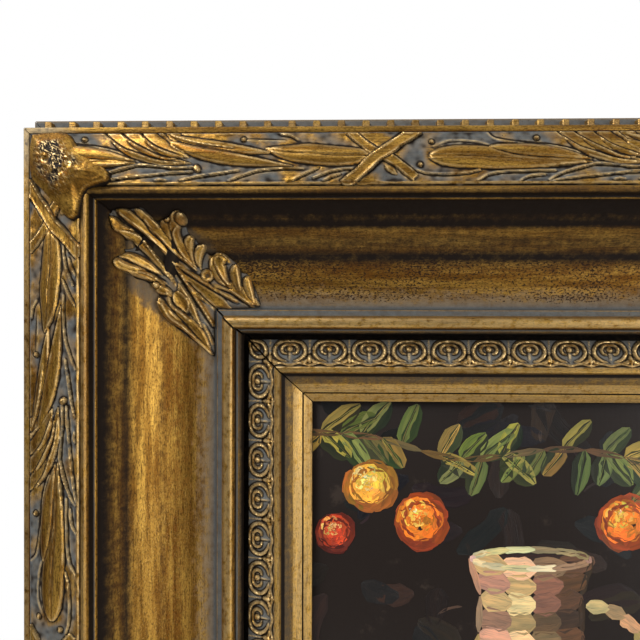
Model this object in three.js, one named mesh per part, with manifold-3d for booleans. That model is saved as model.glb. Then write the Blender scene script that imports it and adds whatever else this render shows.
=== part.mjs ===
// Framed oil painting: a canvas on a stretcher, in an inner frame (the slip), in a wide antique gold frame.
// The gold frame has a convex rail with a leaf garland, a broad scoop, and moulded ornaments on its mitres.
// Millimetres, +Z up. The picture faces -Y and its back is the plane y = 0, flat against a wall.
// The origin is on the back of the top moulding, at mid length, where the frame is hung.
import * as THREE from "three";
import { mergeVertices } from "three/addons/utils/BufferGeometryUtils.js";
import Module from "manifold-3d";

const wasm = await Module();
wasm.setup();

// Driving sizes.
const SIGHT_WIDTH = 490; // visible picture
const SIGHT_HEIGHT = 391;
const RAIL_TO_SIGHT = 127; // rail's outer arris to the visible picture
const FRAME_DEPTH = 68; // rail's outer arris back to the wall
const GAP = 0.3; // between neighbouring pieces
const ORNAMENT_GAP = 0.4; // between a corner ornament and the moulding behind it
const HANG_DROP = 20; // hanging point below the rail's outer arris
const CLEAR = 100; // how far a cutting block reaches past the frame's front and back
const CANVAS_WIDTH = 508;
const CANVAS_HEIGHT = 406.4;

// Places across the gold moulding: distance in from the rail's outer arris, and depth behind it.
const BEAD = { start: 27.1, top: 28.6, end: 30.1, depth: -4.6 };
const COVE = { start: 33, startDepth: 6, end: 80.1, endDepth: 32.4, steps: 5 };
const LIP = { edge: 92.6, depth: 38.7, back: 39.7 };
const RABBET = 86.2;
const BAND = { front: 40.7, step: 46, back: 54, inner: -10.5, face: -15.5, outer: -17.2 };
const BACK_STRIP = { start: 60, out: -12 };

// Garland on the rail: it repeats along each side and runs anticlockwise around the frame.
// Its leaves end short of the mitres, and it may stand out past the rail's arris.
const GARLAND = {
  period: 198,
  rim: -0.3,
  sink: 1.2,
  steps: 3,
  phaseAcross: 14,
  phaseUpright: -85.5,
  endGap: 2,
  overhang: 30,
};
// Dentils on the back band, from the outer corner inward.
const DENTIL = { pitch: 12.45, first: 9, width: 4.1, height: 4, overcut: 0.5, runout: 0.3 };
// Rings along the slip.
const RING = {
  centre: 102.2,
  alongRadius: 7.7,
  acrossRadius: 5.6,
  root: 24,
  pitch: 19.77,
  first: 13.8,
  rise: 1.4,
  hollow: 0.1,
};

// Places across the slip, measured from the rail's outer arris as well.
const SLIP = {
  outer: 86.5,
  shoulder: 92,
  frontDepth: 40,
  grooveDepth: 47,
  start: 95.3,
  startDepth: 37.3,
  crest: 109.2,
  crestDepth: 33.3,
  lipBack: 47.3,
  rabbet: 117.5,
};

const STRETCHER = { width: 44, thickness: 15, bevel: 2, lip: 6 };
const CLOTH = 1.3; // primed linen with its paint
const CLOTH_DEPTH = SLIP.lipBack + GAP;
// Thin steel points that hold the canvas in: two at the quarters of a side over 400 long, or else one.
const POINT = { length: 22, width: 9, thickness: 0.8, bury: 9, longSide: 400, quarter: 0.25 };

const OUTER_WIDTH = SIGHT_WIDTH + 2 * RAIL_TO_SIGHT;
const OUTER_HEIGHT = SIGHT_HEIGHT + 2 * RAIL_TO_SIGHT;
const CENTRE_Z = HANG_DROP - OUTER_HEIGHT / 2;

const gilt = new THREE.MeshStandardMaterial({ color: 0x8f6a2c, roughness: 0.45, metalness: 0.6 });
const ornament = new THREE.MeshStandardMaterial({ color: 0xa37a35, roughness: 0.4, metalness: 0.6 });
const paint = new THREE.MeshStandardMaterial({ color: 0x1d1712, roughness: 0.5, metalness: 0 });
const pine = new THREE.MeshStandardMaterial({ color: 0xb08a5a, roughness: 0.8, metalness: 0 });
const steel = new THREE.MeshStandardMaterial({ color: 0x8b8d90, roughness: 0.4, metalness: 1 });

// ---- solids ----

// A closed three.js geometry as a manifold solid, turned right side out if a mirror has turned it.
function solidOf(geometry) {
  const bare = geometry.index ? geometry.toNonIndexed() : geometry.clone();
  for (const name of Object.keys(bare.attributes)) {
    if (name !== "position") bare.deleteAttribute(name);
  }
  const merged = mergeVertices(bare, 1e-3);
  const position = merged.attributes.position;
  const triangles = new Uint32Array(merged.index.array);
  const corner = [0, 1, 2].map(() => new THREE.Vector3());
  let volume = 0;
  for (let i = 0; i < triangles.length; i += 3) {
    corner.forEach((c, k) => c.fromBufferAttribute(position, triangles[i + k]));
    volume += corner[0].dot(corner[1].clone().cross(corner[2]));
  }
  if (volume < 0) triangles.reverse();
  const mesh = new wasm.Mesh({ numProp: 3, vertProperties: position.array, triVerts: triangles });
  return new wasm.Manifold(mesh);
}

function geometryOf(solid) {
  const mesh = solid.getMesh();
  const geometry = new THREE.BufferGeometry();
  geometry.setAttribute("position", new THREE.BufferAttribute(mesh.vertProperties, 3));
  geometry.setIndex(new THREE.BufferAttribute(mesh.triVerts, 1));
  return geometry;
}

const joined = (solids) => solids.reduce((whole, next) => whole.add(next));

// A relief with a ridge along a line: its sides slope from the ridge down to edges halfWidth away, at the
// height of its rim, and drop from there to its sunk underside.
// place(along, across, lift) gives the point in space, lift in front of the ground.
// swell(k) widens and raises the relief, from 0 at its tips to 1.
function ridgeSolid({ line, halfWidth, height, rim, sink, steps, swell, place }) {
  const points = [];
  const faces = [];
  const put = (x, y, lift) => points.push(place(x, y, lift)) - 1;
  const tip = (k) => {
    const p = line.getPoint(k);
    return put(p.x, p.y, -sink);
  };
  const station = (k) => {
    const p = line.getPoint(k);
    const t = line.getTangent(k);
    const wide = halfWidth * swell(k);
    const at = (side, lift) => put(p.x - side * t.y * wide, p.y + side * t.x * wide, lift);
    return [at(1, -sink), at(1, rim), at(0, height * swell(k)), at(-1, rim), at(-1, -sink)];
  };
  const first = tip(0);
  const rows = [];
  for (let i = 1; i < steps; i++) rows.push(station(i / steps));
  const last = tip(1);
  for (let side = 0; side < 5; side++) {
    const next = (side + 1) % 5;
    faces.push(first, rows[0][next], rows[0][side]);
    rows.slice(1).forEach((row, i) => {
      const before = rows[i];
      faces.push(before[side], before[next], row[next], before[side], row[next], row[side]);
    });
    faces.push(last, rows[rows.length - 1][side], rows[rows.length - 1][next]);
  }
  const geometry = new THREE.BufferGeometry().setFromPoints(points);
  geometry.setIndex(faces);
  return solidOf(geometry);
}

const leafSwell = (k) => Math.sin(Math.PI * k) ** 0.6;
const bow = (x0, y0, x1, y1, sag) => {
  const from = new THREE.Vector2(x0, y0);
  const to = new THREE.Vector2(x1, y1);
  const across = new THREE.Vector2(y0 - y1, x1 - x0).normalize();
  const middle = from.clone().lerp(to, 0.5).addScaledVector(across, 2 * sag);
  return new THREE.QuadraticBezierCurve(from, middle, to);
};

// ---- sides ----
// Each side is made lying along X as the top one is, then turned about Y. Going round clockwise
// from the front, local +X runs left to right on top, down on the right, and so on.
const SIDES = [
  { name: "top", turn: 0, reach: OUTER_HEIGHT / 2, half: OUTER_WIDTH / 2, phase: GARLAND.phaseAcross },
  { name: "right", turn: 90, reach: OUTER_WIDTH / 2, half: OUTER_HEIGHT / 2, phase: GARLAND.phaseUpright },
  { name: "bottom", turn: 180, reach: OUTER_HEIGHT / 2, half: OUTER_WIDTH / 2, phase: GARLAND.phaseAcross },
  { name: "left", turn: 270, reach: OUTER_WIDTH / 2, half: OUTER_HEIGHT / 2, phase: GARLAND.phaseUpright },
];

// A section of (distance in from the rail's arris, depth) points as a bar with mitred ends.
// It is first made from -1 to 1 along X, and its ends are then drawn out to the mitres.
function mitredBar(section, side, opening = GAP) {
  const shape = new THREE.Shape(section.map(([across, depth]) => new THREE.Vector2(across, depth)));
  const bar = new THREE.ExtrudeGeometry(shape, { depth: 2, bevelEnabled: false });
  bar.rotateY(Math.PI / 2).translate(-1, -FRAME_DEPTH, side.reach);
  const position = bar.attributes.position;
  for (let i = 0; i < position.count; i++) {
    const across = side.reach - position.getZ(i);
    position.setX(i, position.getX(i) * (side.half - across - opening / Math.SQRT2));
  }
  return bar;
}

const turned = (geometry, side) =>
  geometry.rotateY(THREE.MathUtils.degToRad(side.turn)).translate(0, 0, CENTRE_Z);

function addMesh(group, name, geometry, material) {
  const mesh = new THREE.Mesh(geometry, material);
  mesh.name = name;
  group.add(mesh);
}

// ---- gold moulding ----

// The moulding's face, from the rail's arris to the lip that holds the slip.
const face = new THREE.Path();
face.moveTo(0, 0);
face.lineTo(3.4, -0.5);
face.lineTo(4.4, 0.4);
face.lineTo(12, -2.6);
face.lineTo(25.2, -3.8);
face.lineTo(BEAD.start - 0.7, -2.8);
face.lineTo(BEAD.top, BEAD.depth);
face.lineTo(BEAD.end, -3.4);
face.lineTo(BEAD.end + 0.3, 1.5);
face.lineTo(COVE.start - 1, 2.6);
face.lineTo(COVE.start, COVE.startDepth);
face.quadraticCurveTo(50.5, 31.4, COVE.end, COVE.endDepth);
face.lineTo(81.6, 30.9);
face.lineTo(83.3, 30.6);
face.lineTo(84.4, 27);
face.lineTo(86.4, 25.3);
face.lineTo(88.6, 26);
face.lineTo(90.2, 32.5);
face.lineTo(LIP.edge, LIP.depth);
const FACE = face.getPoints(COVE.steps).map((p) => [p.x, p.y]);

// The outer wall sweeps out from under the rail to the back band.
const flank = new THREE.Path();
flank.moveTo(BAND.inner, 38);
flank.quadraticCurveTo(-1.5, 30, -0.9, 5);
const FLANK = flank.getPoints(2).map((p) => [p.x, p.y]);

const MOULDING_SECTION = [
  ...FACE,
  [LIP.edge, LIP.back],
  [RABBET, LIP.back],
  [RABBET, FRAME_DEPTH],
  [BACK_STRIP.out, FRAME_DEPTH],
  [BACK_STRIP.out, BACK_STRIP.start],
  [BAND.outer, BAND.back],
  [BAND.outer, BAND.step],
  [BAND.face, BAND.step],
  [BAND.face, BAND.front],
  [BAND.inner, BAND.front],
  ...FLANK,
  [0, 4],
];

// Depth of the moulding's face at a distance in from the rail's arris.
function faceDepth(across) {
  const i = Math.max(1, FACE.findIndex(([a]) => a >= across));
  const [a0, d0] = FACE[i - 1];
  const [a1, d1] = FACE[i];
  return d0 + ((d1 - d0) * (across - a0)) / (a1 - a0);
}

// One repeat of the garland, from the crossing of its ribbons: start and end (along, across), the bow of
// the line, half its width and its height. Two ribbons come first, then buds, long leaves and blades.
const GARLAND_PARTS = [
  { from: [-15, 3], to: [18, 25], sag: 0.5, halfWidth: 3.6, height: 2.6 },
  { from: [-14, 23], to: [9, 4], sag: 0, halfWidth: 3, height: 2.4, steps: 2 },
  { from: [8, 14], to: [53, 10.5], sag: 1.5, halfWidth: 6, height: 2.6 },
  { from: [-18, 13], to: [-92, 16], sag: -1.5, halfWidth: 6.2, height: 2.6 },
  { from: [101, 4], to: [42, 18.5], sag: 4, halfWidth: 4, height: 2.2 },
  { from: [126, 4], to: [80, 17], sag: 4, halfWidth: 3.6, height: 2 },
];

const railPlace = (side) => (along, across, lift) =>
  new THREE.Vector3(along, faceDepth(across) - lift - FRAME_DEPTH, side.reach - across);

function garland(side) {
  const solids = [];
  const repeats = Math.ceil(side.half / GARLAND.period) + 1;
  for (let r = -repeats; r <= repeats; r++) {
    for (const part of GARLAND_PARTS) {
      const origin = side.phase + r * GARLAND.period;
      const ends = [part.from[0] + origin, part.to[0] + origin];
      if (Math.max(...ends) < -side.half || Math.min(...ends) > side.half) continue;
      solids.push(
        ridgeSolid({
          line: bow(-ends[0], part.from[1], -ends[1], part.to[1], part.sag),
          halfWidth: part.halfWidth,
          height: part.height,
          rim: GARLAND.rim,
          sink: GARLAND.sink,
          steps: part.steps ?? GARLAND.steps,
          swell: leafSwell,
          place: railPlace(side),
        }),
      );
    }
  }
  return joined(solids);
}

// An outline in front view as a block that runs through the whole depth of the frame.
function throughBlock(outline) {
  const block = new THREE.ExtrudeGeometry(outline, { depth: 2 * CLEAR, bevelEnabled: false });
  return block.rotateX(Math.PI / 2).translate(0, CLEAR, 0);
}

// The space that the garland may take on one side: the rail between its two mitres.
function garlandSpace(side) {
  const outline = new THREE.Shape();
  const inner = side.half - BEAD.start - GARLAND.endGap;
  const outer = side.half + GARLAND.overhang - GARLAND.endGap;
  outline.moveTo(-inner, side.reach - BEAD.start);
  outline.lineTo(inner, side.reach - BEAD.start);
  outline.lineTo(outer, side.reach + GARLAND.overhang);
  outline.lineTo(-outer, side.reach + GARLAND.overhang);
  return solidOf(throughBlock(outline));
}

// The recess between two dentils: a wedge cut from the band's front corner, running out at its back.
function dentilRecess(side, along, length) {
  const slope = new THREE.Shape();
  slope.moveTo(BAND.face - DENTIL.overcut, BAND.front - DENTIL.overcut);
  slope.lineTo(BAND.face + DENTIL.height, BAND.front - DENTIL.overcut);
  slope.lineTo(BAND.face - DENTIL.overcut, BAND.step - DENTIL.runout);
  const recess = new THREE.ExtrudeGeometry(slope, { depth: length, bevelEnabled: false });
  return solidOf(recess.rotateY(Math.PI / 2).translate(along, -FRAME_DEPTH, side.reach));
}

function dentilRecesses(side) {
  const run = 2 * (side.half - BAND.outer - DENTIL.first);
  const count = Math.round(run / DENTIL.pitch);
  const pitch = run / count;
  const solids = [];
  for (let i = 0; i < count; i++) {
    const along = -run / 2 + i * pitch + DENTIL.width / 2;
    solids.push(dentilRecess(side, along, pitch - DENTIL.width));
  }
  return joined(solids);
}

// Outline of the ornament on a corner of the rail, as (in from one arris, in from the other), one half.
const CAP_HALF = [
  [4, 4],
  [19, 3],
  [24, 8],
  [40, 23],
  [29, 29],
];
const CAP = {
  shoulder: 0.66,
  shoulderLift: 5,
  top: [15, 15],
  topLift: 6.5,
  edgeLift: 1.8,
  sink: 1.5,
  clear: 0.5,
};
const CAP_OUTLINE = [...CAP_HALF, ...CAP_HALF.slice(1, -1).reverse().map(([a, b]) => [b, a])];

// The space that the caps take at a side's two ends, for cutting the garland back to them.
function capSpace(side) {
  const [topA, topB] = CAP.top;
  const away = (place, top) => place + Math.sign(place - top) * CAP.clear;
  const outline = new THREE.Shape(
    CAP_OUTLINE.map(([a, b]) => new THREE.Vector2(side.half - away(a, topA), side.reach - away(b, topB))),
  );
  const block = throughBlock(outline);
  return joined([solidOf(block.clone()), solidOf(block.scale(-1, 1, 1))]);
}

function moulding(side) {
  const leaves = garland(side).intersect(garlandSpace(side)).subtract(capSpace(side));
  const bar = solidOf(mitredBar(MOULDING_SECTION, side));
  return turned(geometryOf(bar.add(leaves).subtract(dentilRecesses(side))), side);
}

// ---- slip ----

const SLIP_SECTION = [
  [SLIP.outer, SLIP.frontDepth],
  [SLIP.shoulder, SLIP.frontDepth],
  [SLIP.shoulder, SLIP.grooveDepth],
  [SLIP.start, SLIP.grooveDepth],
  [SLIP.start, SLIP.startDepth],
  [SLIP.crest, SLIP.crestDepth],
  [111.2, 33.9],
  [112, 36],
  [RAIL_TO_SIGHT, 44.3],
  [RAIL_TO_SIGHT, SLIP.lipBack],
  [SLIP.rabbet, SLIP.lipBack],
  [SLIP.rabbet, FRAME_DEPTH],
  [SLIP.outer, FRAME_DEPTH],
];

// One ring of the slip's chain: six-sided, raised along its rim and hollow in its middle. It narrows to a
// root deep in the wood, so that the slip's face meets each side along one straight line.
function ring(side, along) {
  const slope = (SLIP.crestDepth - SLIP.startDepth) / (SLIP.crest - SLIP.start);
  const profile = [
    [0, -RING.root],
    [1, RING.rise],
    [0, RING.hollow],
  ].map(([radius, lift]) => new THREE.Vector2(radius, lift));
  const shape = new THREE.LatheGeometry(profile, 6).rotateX(Math.PI);
  shape.scale(RING.alongRadius, 1, RING.acrossRadius);
  const position = shape.attributes.position;
  for (let i = 0; i < position.count; i++) {
    const across = RING.centre - position.getZ(i);
    const depth = SLIP.startDepth + slope * (across - SLIP.start) + position.getY(i);
    position.setXYZ(i, position.getX(i) + along, depth - FRAME_DEPTH, side.reach - across);
  }
  return solidOf(shape);
}

// Where the steel points are driven into the slip's rabbet, behind the stretcher.
const POINT_DEPTH = CLOTH_DEPTH + CLOTH + GAP + STRETCHER.thickness + GAP;
const pointPlaces = (side) => {
  const length = 2 * (side.half - RAIL_TO_SIGHT);
  return length > POINT.longSide ? [-POINT.quarter * length, POINT.quarter * length] : [0];
};

function pointBox(side, along, slack) {
  const size = [POINT.width, POINT.thickness, POINT.length].map((length) => length + 2 * slack);
  const box = new THREE.BoxGeometry(...size);
  const inward = SLIP.rabbet - POINT.bury + POINT.length / 2;
  return box.translate(along, POINT_DEPTH + POINT.thickness / 2 - FRAME_DEPTH, side.reach - inward);
}

function slip(side) {
  const run = 2 * (side.half - RING.centre - RING.first);
  const count = Math.round(run / RING.pitch);
  let bar = solidOf(mitredBar(SLIP_SECTION, side));
  for (let i = 0; i <= count; i++) bar = bar.add(ring(side, -run / 2 + (i * run) / count));
  for (const along of pointPlaces(side)) bar = bar.subtract(solidOf(pointBox(side, along, GAP)));
  return turned(geometryOf(bar), side);
}

// ---- corner ornaments ----

// The four mouldings and the gap that an ornament keeps in front of their faces.
const SPACE_SECTION = [
  ...FACE.map(([across, depth]) => [across, depth - ORNAMENT_GAP]),
  [LIP.edge, FRAME_DEPTH],
  [0, FRAME_DEPTH],
];
const MOULDING_SPACE = joined(SIDES.map((side) => solidOf(turned(mitredBar(SPACE_SECTION, side, 0), side))));

const CORNERS = [
  { name: "top_left", right: -1, up: 1 },
  { name: "top_right", right: 1, up: 1 },
  { name: "bottom_right", right: 1, up: -1 },
  { name: "bottom_left", right: -1, up: -1 },
];

// A point (in from the upright arris, in from the level arris), lifted in front of the moulding's face.
const cornerPlace = (corner) => (a, b, lift) =>
  new THREE.Vector3(
    corner.right * (OUTER_WIDTH / 2 - a),
    cornerDepth(Math.min(a, b)) - lift - FRAME_DEPTH,
    CENTRE_Z + corner.up * (OUTER_HEIGHT / 2 - b),
  );
// Ornaments bridge the grooves beside the bead, so their ground is the bead's own height there.
const cornerDepth = (across) => (across > 20 && across < BEAD.end ? BEAD.depth : faceDepth(across));

// The cap over the rail's mitre: a swelling kite with two points, like a stretched pelt.
function cap(corner) {
  const place = cornerPlace(corner);
  const [topA, topB] = CAP.top;
  const toward = ([a, b], share) => [topA + (a - topA) * share, topB + (b - topB) * share];
  const base = CAP_OUTLINE.map(([a, b]) => place(a, b, -CAP.sink));
  const edge = CAP_OUTLINE.map(([a, b]) => place(a, b, CAP.edgeLift));
  const shoulder = CAP_OUTLINE.map((p) => place(...toward(p, CAP.shoulder), CAP.shoulderLift));
  const crown = [CAP.topLift, -CAP.sink].map((lift) => place(topA, topB, lift));
  const points = [...base, ...edge, ...shoulder, ...crown];
  const count = CAP_OUTLINE.length;
  const faces = [];
  for (let i = 0; i < count; i++) {
    const j = (i + 1) % count;
    for (const ringStart of [0, count]) {
      const [p, q] = [ringStart + i, ringStart + j];
      faces.push(p, q, q + count, p, q + count, p + count);
    }
    faces.push(2 * count + i, 2 * count + j, 3 * count, j, i, 3 * count + 1);
  }
  const geometry = new THREE.BufferGeometry().setFromPoints(points);
  geometry.setIndex(faces);
  return geometryOf(solidOf(geometry).subtract(MOULDING_SPACE));
}

// The acanthus leaf in the scoop. Places are (along the mitre from the rail's corner, out from the mitre).
// Each lobe has its root on the stem, its tip and half its width; a notch parts it from the next one.
// The stem's own points stand a step past each root.
const LEAF_LOBES = [
  { root: 60, tip: [50, 5.5], halfWidth: 4.5, notch: [65, 6.5] },
  { root: 76, tip: [68, 19], halfWidth: 4.5, notch: [78, 12] },
  { root: 90, tip: [86, 20], halfWidth: 5, notch: [94, 15] },
  { root: 102, tip: [104, 23], halfWidth: 5, notch: [112, 18] },
  { root: 107, tip: [129, 17.5], halfWidth: 4, notch: [119, 7.5] },
];
const LEAF = {
  tip: 53,
  end: 112,
  step: 5,
  stemLift: 4.6,
  crownLift: 5.6,
  edgeLift: 1.2,
  sink: 12,
  crown: 0.6,
  shoulder: 0.75,
};
const CRACK = { start: 97, end: 125, width: 0.7 };

// A lobe's outline: its two shoulders about its tip, then the notch.
function lobeOutline({ root, tip, halfWidth, notch }) {
  const line = new THREE.Vector2(tip[0] - root, tip[1]);
  const wide = new THREE.Vector2(line.y, -line.x).setLength(halfWidth);
  const shoulder = new THREE.Vector2(root, 0).addScaledVector(line, LEAF.shoulder);
  const before = shoulder.clone().sub(wide);
  const after = shoulder.clone().add(wide);
  return [before.toArray(), tip, after.toArray(), notch];
}

function leaf(corner) {
  const flat = cornerPlace(corner);
  const place = (along, out, lift) => flat((along + out) / Math.SQRT2, (along - out) / Math.SQRT2, lift);
  const flatPoints = [];
  const points = [];
  const faces = [];
  const put = (along, out, lift) => {
    flatPoints.push(new THREE.Vector2(along, out));
    return points.push(place(along, out, lift)) - 1;
  };
  const stem = [put(LEAF.tip, 0, LEAF.edgeLift)];
  for (const lobe of LEAF_LOBES.slice(0, -1)) stem.push(put(lobe.root + LEAF.step, 0, LEAF.stemLift));
  stem.push(put(LEAF.end, 0, LEAF.edgeLift));
  const halves = [1, -1].map((side) => {
    const rim = [];
    LEAF_LOBES.forEach((lobe, i) => {
      const crown = put(
        lobe.root + (lobe.tip[0] - lobe.root) * LEAF.crown,
        side * lobe.tip[1] * LEAF.crown,
        LEAF.crownLift,
      );
      const outline = lobeOutline(lobe).map(([along, out]) => put(along, side * out, LEAF.edgeLift));
      const loop = [stem[i], ...rim.slice(-1), ...outline, stem[i + 1]];
      if (side < 0) loop.reverse();
      loop.forEach((p, k) => faces.push(crown, p, loop[(k + 1) % loop.length]));
      rim.push(...outline);
    });
    return rim;
  });
  const outline = [stem[0], ...halves[0], stem[stem.length - 1], ...halves[1].reverse()];
  const under = outline.map((i) => put(flatPoints[i].x, flatPoints[i].y, -LEAF.sink));
  outline.forEach((p, i) => {
    const j = (i + 1) % outline.length;
    faces.push(outline[j], p, under[i], outline[j], under[i], under[j]);
  });
  for (const [a, b, c] of THREE.ShapeUtils.triangulateShape(outline.map((i) => flatPoints[i]), [])) {
    const turn = flatPoints[outline[b]].clone().sub(flatPoints[outline[a]]);
    const anticlockwise = turn.cross(flatPoints[outline[c]].clone().sub(flatPoints[outline[a]])) > 0;
    faces.push(...(anticlockwise ? [under[a], under[b], under[c]] : [under[a], under[c], under[b]]));
  }
  const geometry = new THREE.BufferGeometry().setFromPoints(points);
  geometry.setIndex(faces);
  const crack = new THREE.BoxGeometry(CRACK.end - CRACK.start, CLEAR, CRACK.width);
  crack.translate((CRACK.start + CRACK.end) / 2, 0, 0).rotateY(Math.PI / 4);
  crack.translate(-OUTER_WIDTH / 2, -FRAME_DEPTH / 2, OUTER_HEIGHT / 2);
  crack.scale(-corner.right, 1, corner.up).translate(0, 0, CENTRE_Z);
  return geometryOf(solidOf(geometry).subtract(MOULDING_SPACE).subtract(solidOf(crack)));
}

// ---- picture ----

// Linen stretched over the bars and turned down over their edges.
function canvas() {
  const depth = CLOTH + GAP + STRETCHER.thickness;
  const outer = new THREE.BoxGeometry(CANVAS_WIDTH, depth, CANVAS_HEIGHT).translate(0, depth / 2, 0);
  const inner = new THREE.BoxGeometry(CANVAS_WIDTH - 2 * CLOTH, depth, CANVAS_HEIGHT - 2 * CLOTH);
  inner.translate(0, depth / 2 + CLOTH, 0);
  const tray = geometryOf(solidOf(outer).subtract(solidOf(inner)));
  return tray.translate(0, CLOTH_DEPTH - FRAME_DEPTH, CENTRE_Z);
}

// A stretcher bar, bevelled away from the linen on its inner part.
function stretcherBar(side) {
  const upright = side.turn % 180 !== 0;
  const canvasReach = (upright ? CANVAS_WIDTH : CANVAS_HEIGHT) / 2 - CLOTH - GAP;
  const start = side.reach - canvasReach;
  const front = CLOTH_DEPTH + CLOTH + GAP;
  const section = [
    [start, front],
    [start + STRETCHER.lip, front],
    [start + STRETCHER.width, front + STRETCHER.bevel],
    [start + STRETCHER.width, front + STRETCHER.thickness],
    [start, front + STRETCHER.thickness],
  ];
  // The mitre runs through the canvas's own corner, which isn't on the frame's mitre.
  const canvasHalf = (upright ? CANVAS_HEIGHT : CANVAS_WIDTH) / 2 - CLOTH - GAP;
  return turned(mitredBar(section, { reach: side.reach, half: canvasHalf + start }), side);
}

const painting = new THREE.Group();
painting.name = "framed_oil_painting";
for (const side of SIDES) {
  addMesh(painting, `moulding_${side.name}`, moulding(side), gilt);
  addMesh(painting, `slip_${side.name}`, slip(side), gilt);
  addMesh(painting, `stretcher_bar_${side.name}`, stretcherBar(side), pine);
  pointPlaces(side).forEach((along, i) => {
    addMesh(painting, `steel_point_${side.name}_${i + 1}`, turned(pointBox(side, along, 0), side), steel);
  });
}
for (const corner of CORNERS) {
  addMesh(painting, `corner_cap_${corner.name}`, cap(corner), ornament);
  addMesh(painting, `acanthus_leaf_${corner.name}`, leaf(corner), ornament);
}
addMesh(painting, "canvas", canvas(), paint);

export default painting;
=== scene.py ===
# Framed oil painting: a wide antique gold frame round a slip and a stretched canvas, finished on its solids.
# Lengths are metres. Places on the moulding are thousandths: in from the rail's outer arris, and behind it.
import math

import bmesh
import bpy
import numpy as np
from mathutils import Matrix, Vector


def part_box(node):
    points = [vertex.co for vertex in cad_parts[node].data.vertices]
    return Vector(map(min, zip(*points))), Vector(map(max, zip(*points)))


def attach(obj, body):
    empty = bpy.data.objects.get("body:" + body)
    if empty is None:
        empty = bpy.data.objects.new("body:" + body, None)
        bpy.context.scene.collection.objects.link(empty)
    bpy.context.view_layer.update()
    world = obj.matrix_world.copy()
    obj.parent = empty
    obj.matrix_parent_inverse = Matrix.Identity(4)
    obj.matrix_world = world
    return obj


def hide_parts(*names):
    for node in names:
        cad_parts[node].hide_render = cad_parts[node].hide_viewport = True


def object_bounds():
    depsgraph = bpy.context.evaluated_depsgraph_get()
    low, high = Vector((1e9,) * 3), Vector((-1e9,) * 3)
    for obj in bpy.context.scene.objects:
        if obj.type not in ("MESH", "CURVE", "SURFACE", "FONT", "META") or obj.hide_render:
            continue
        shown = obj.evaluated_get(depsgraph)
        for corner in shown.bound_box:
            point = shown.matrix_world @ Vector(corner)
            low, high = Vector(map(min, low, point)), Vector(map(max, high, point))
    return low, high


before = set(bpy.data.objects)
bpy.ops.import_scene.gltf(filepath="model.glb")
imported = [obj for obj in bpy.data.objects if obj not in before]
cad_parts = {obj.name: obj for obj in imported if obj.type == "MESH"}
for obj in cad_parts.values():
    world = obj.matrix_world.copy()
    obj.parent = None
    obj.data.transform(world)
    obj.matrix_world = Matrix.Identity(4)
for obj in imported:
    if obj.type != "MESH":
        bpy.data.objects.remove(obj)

solids_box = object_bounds()

# ---- Floor, light and camera ----
# The frame hangs clear of a pale floor. A broad soft light stands at its upper left, a weaker one at its
# right, and the camera looks closely at its upper left corner, nearly square on.
MM = 0.001
FRAME_DEPTH = 68.0  # rail's outer arris to the wall
BAND_OUT = 17.2  # the back band stands out this far past the arris
arris_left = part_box("moulding_left")[0].x + BAND_OUT * MM
arris_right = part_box("moulding_right")[1].x - BAND_OUT * MM
arris_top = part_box("moulding_top")[1].z - BAND_OUT * MM
arris_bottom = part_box("moulding_bottom")[0].z + BAND_OUT * MM

FLOOR_DROP = 0.35
FLOOR_SIZE = 2.8
floor_mesh = bpy.data.meshes.new("floor")
bm = bmesh.new()
bmesh.ops.create_grid(bm, x_segments=1, y_segments=1, size=FLOOR_SIZE / 2)
bmesh.ops.translate(bm, verts=bm.verts, vec=(0, 0, solids_box[0].z - FLOOR_DROP))
bm.to_mesh(floor_mesh)
bm.free()
floor = bpy.data.objects.new("floor", floor_mesh)
bpy.context.scene.collection.objects.link(floor)
floor_finish = bpy.data.materials.new("pale floor")
floor_finish.use_nodes = True
floor_shader = floor_finish.node_tree.nodes["Principled BSDF"]
floor_shader.inputs["Base Color"].default_value = (0.8, 0.79, 0.77, 1)
floor_shader.inputs["Roughness"].default_value = 0.7
floor_mesh.materials.append(floor_finish)

# The room is seen white behind the frame, but it lights and mirrors in the gold as a dim grey,
# darker below.
world = bpy.data.worlds.new("room")
bpy.context.scene.world = world
world.use_nodes = True
room = world.node_tree
room.nodes.clear()
seen = room.nodes.new("ShaderNodeBackground")
seen.inputs["Color"].default_value = (1, 1, 1, 1)
lighting = room.nodes.new("ShaderNodeBackground")
heading = room.nodes.new("ShaderNodeTexCoord")
parts = room.nodes.new("ShaderNodeSeparateXYZ")
height = room.nodes.new("ShaderNodeMapRange")
height.inputs["From Min"].default_value = -0.15
height.inputs["From Max"].default_value = 0.9
shades = room.nodes.new("ShaderNodeValToRGB")
shades.color_ramp.elements[0].color = (0.03, 0.03, 0.035, 1)
shades.color_ramp.elements[1].color = (0.5, 0.52, 0.56, 1)
room.links.new(heading.outputs["Generated"], parts.inputs[0])
room.links.new(parts.outputs["Z"], height.inputs["Value"])
room.links.new(height.outputs[0], shades.inputs[0])
room.links.new(shades.outputs[0], lighting.inputs["Color"])
ray = room.nodes.new("ShaderNodeLightPath")
either = room.nodes.new("ShaderNodeMixShader")
out = room.nodes.new("ShaderNodeOutputWorld")
room.links.new(ray.outputs["Is Camera Ray"], either.inputs["Fac"])
room.links.new(lighting.outputs["Background"], either.inputs[1])
room.links.new(seen.outputs["Background"], either.inputs[2])
room.links.new(either.outputs["Shader"], out.inputs["Surface"])

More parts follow.
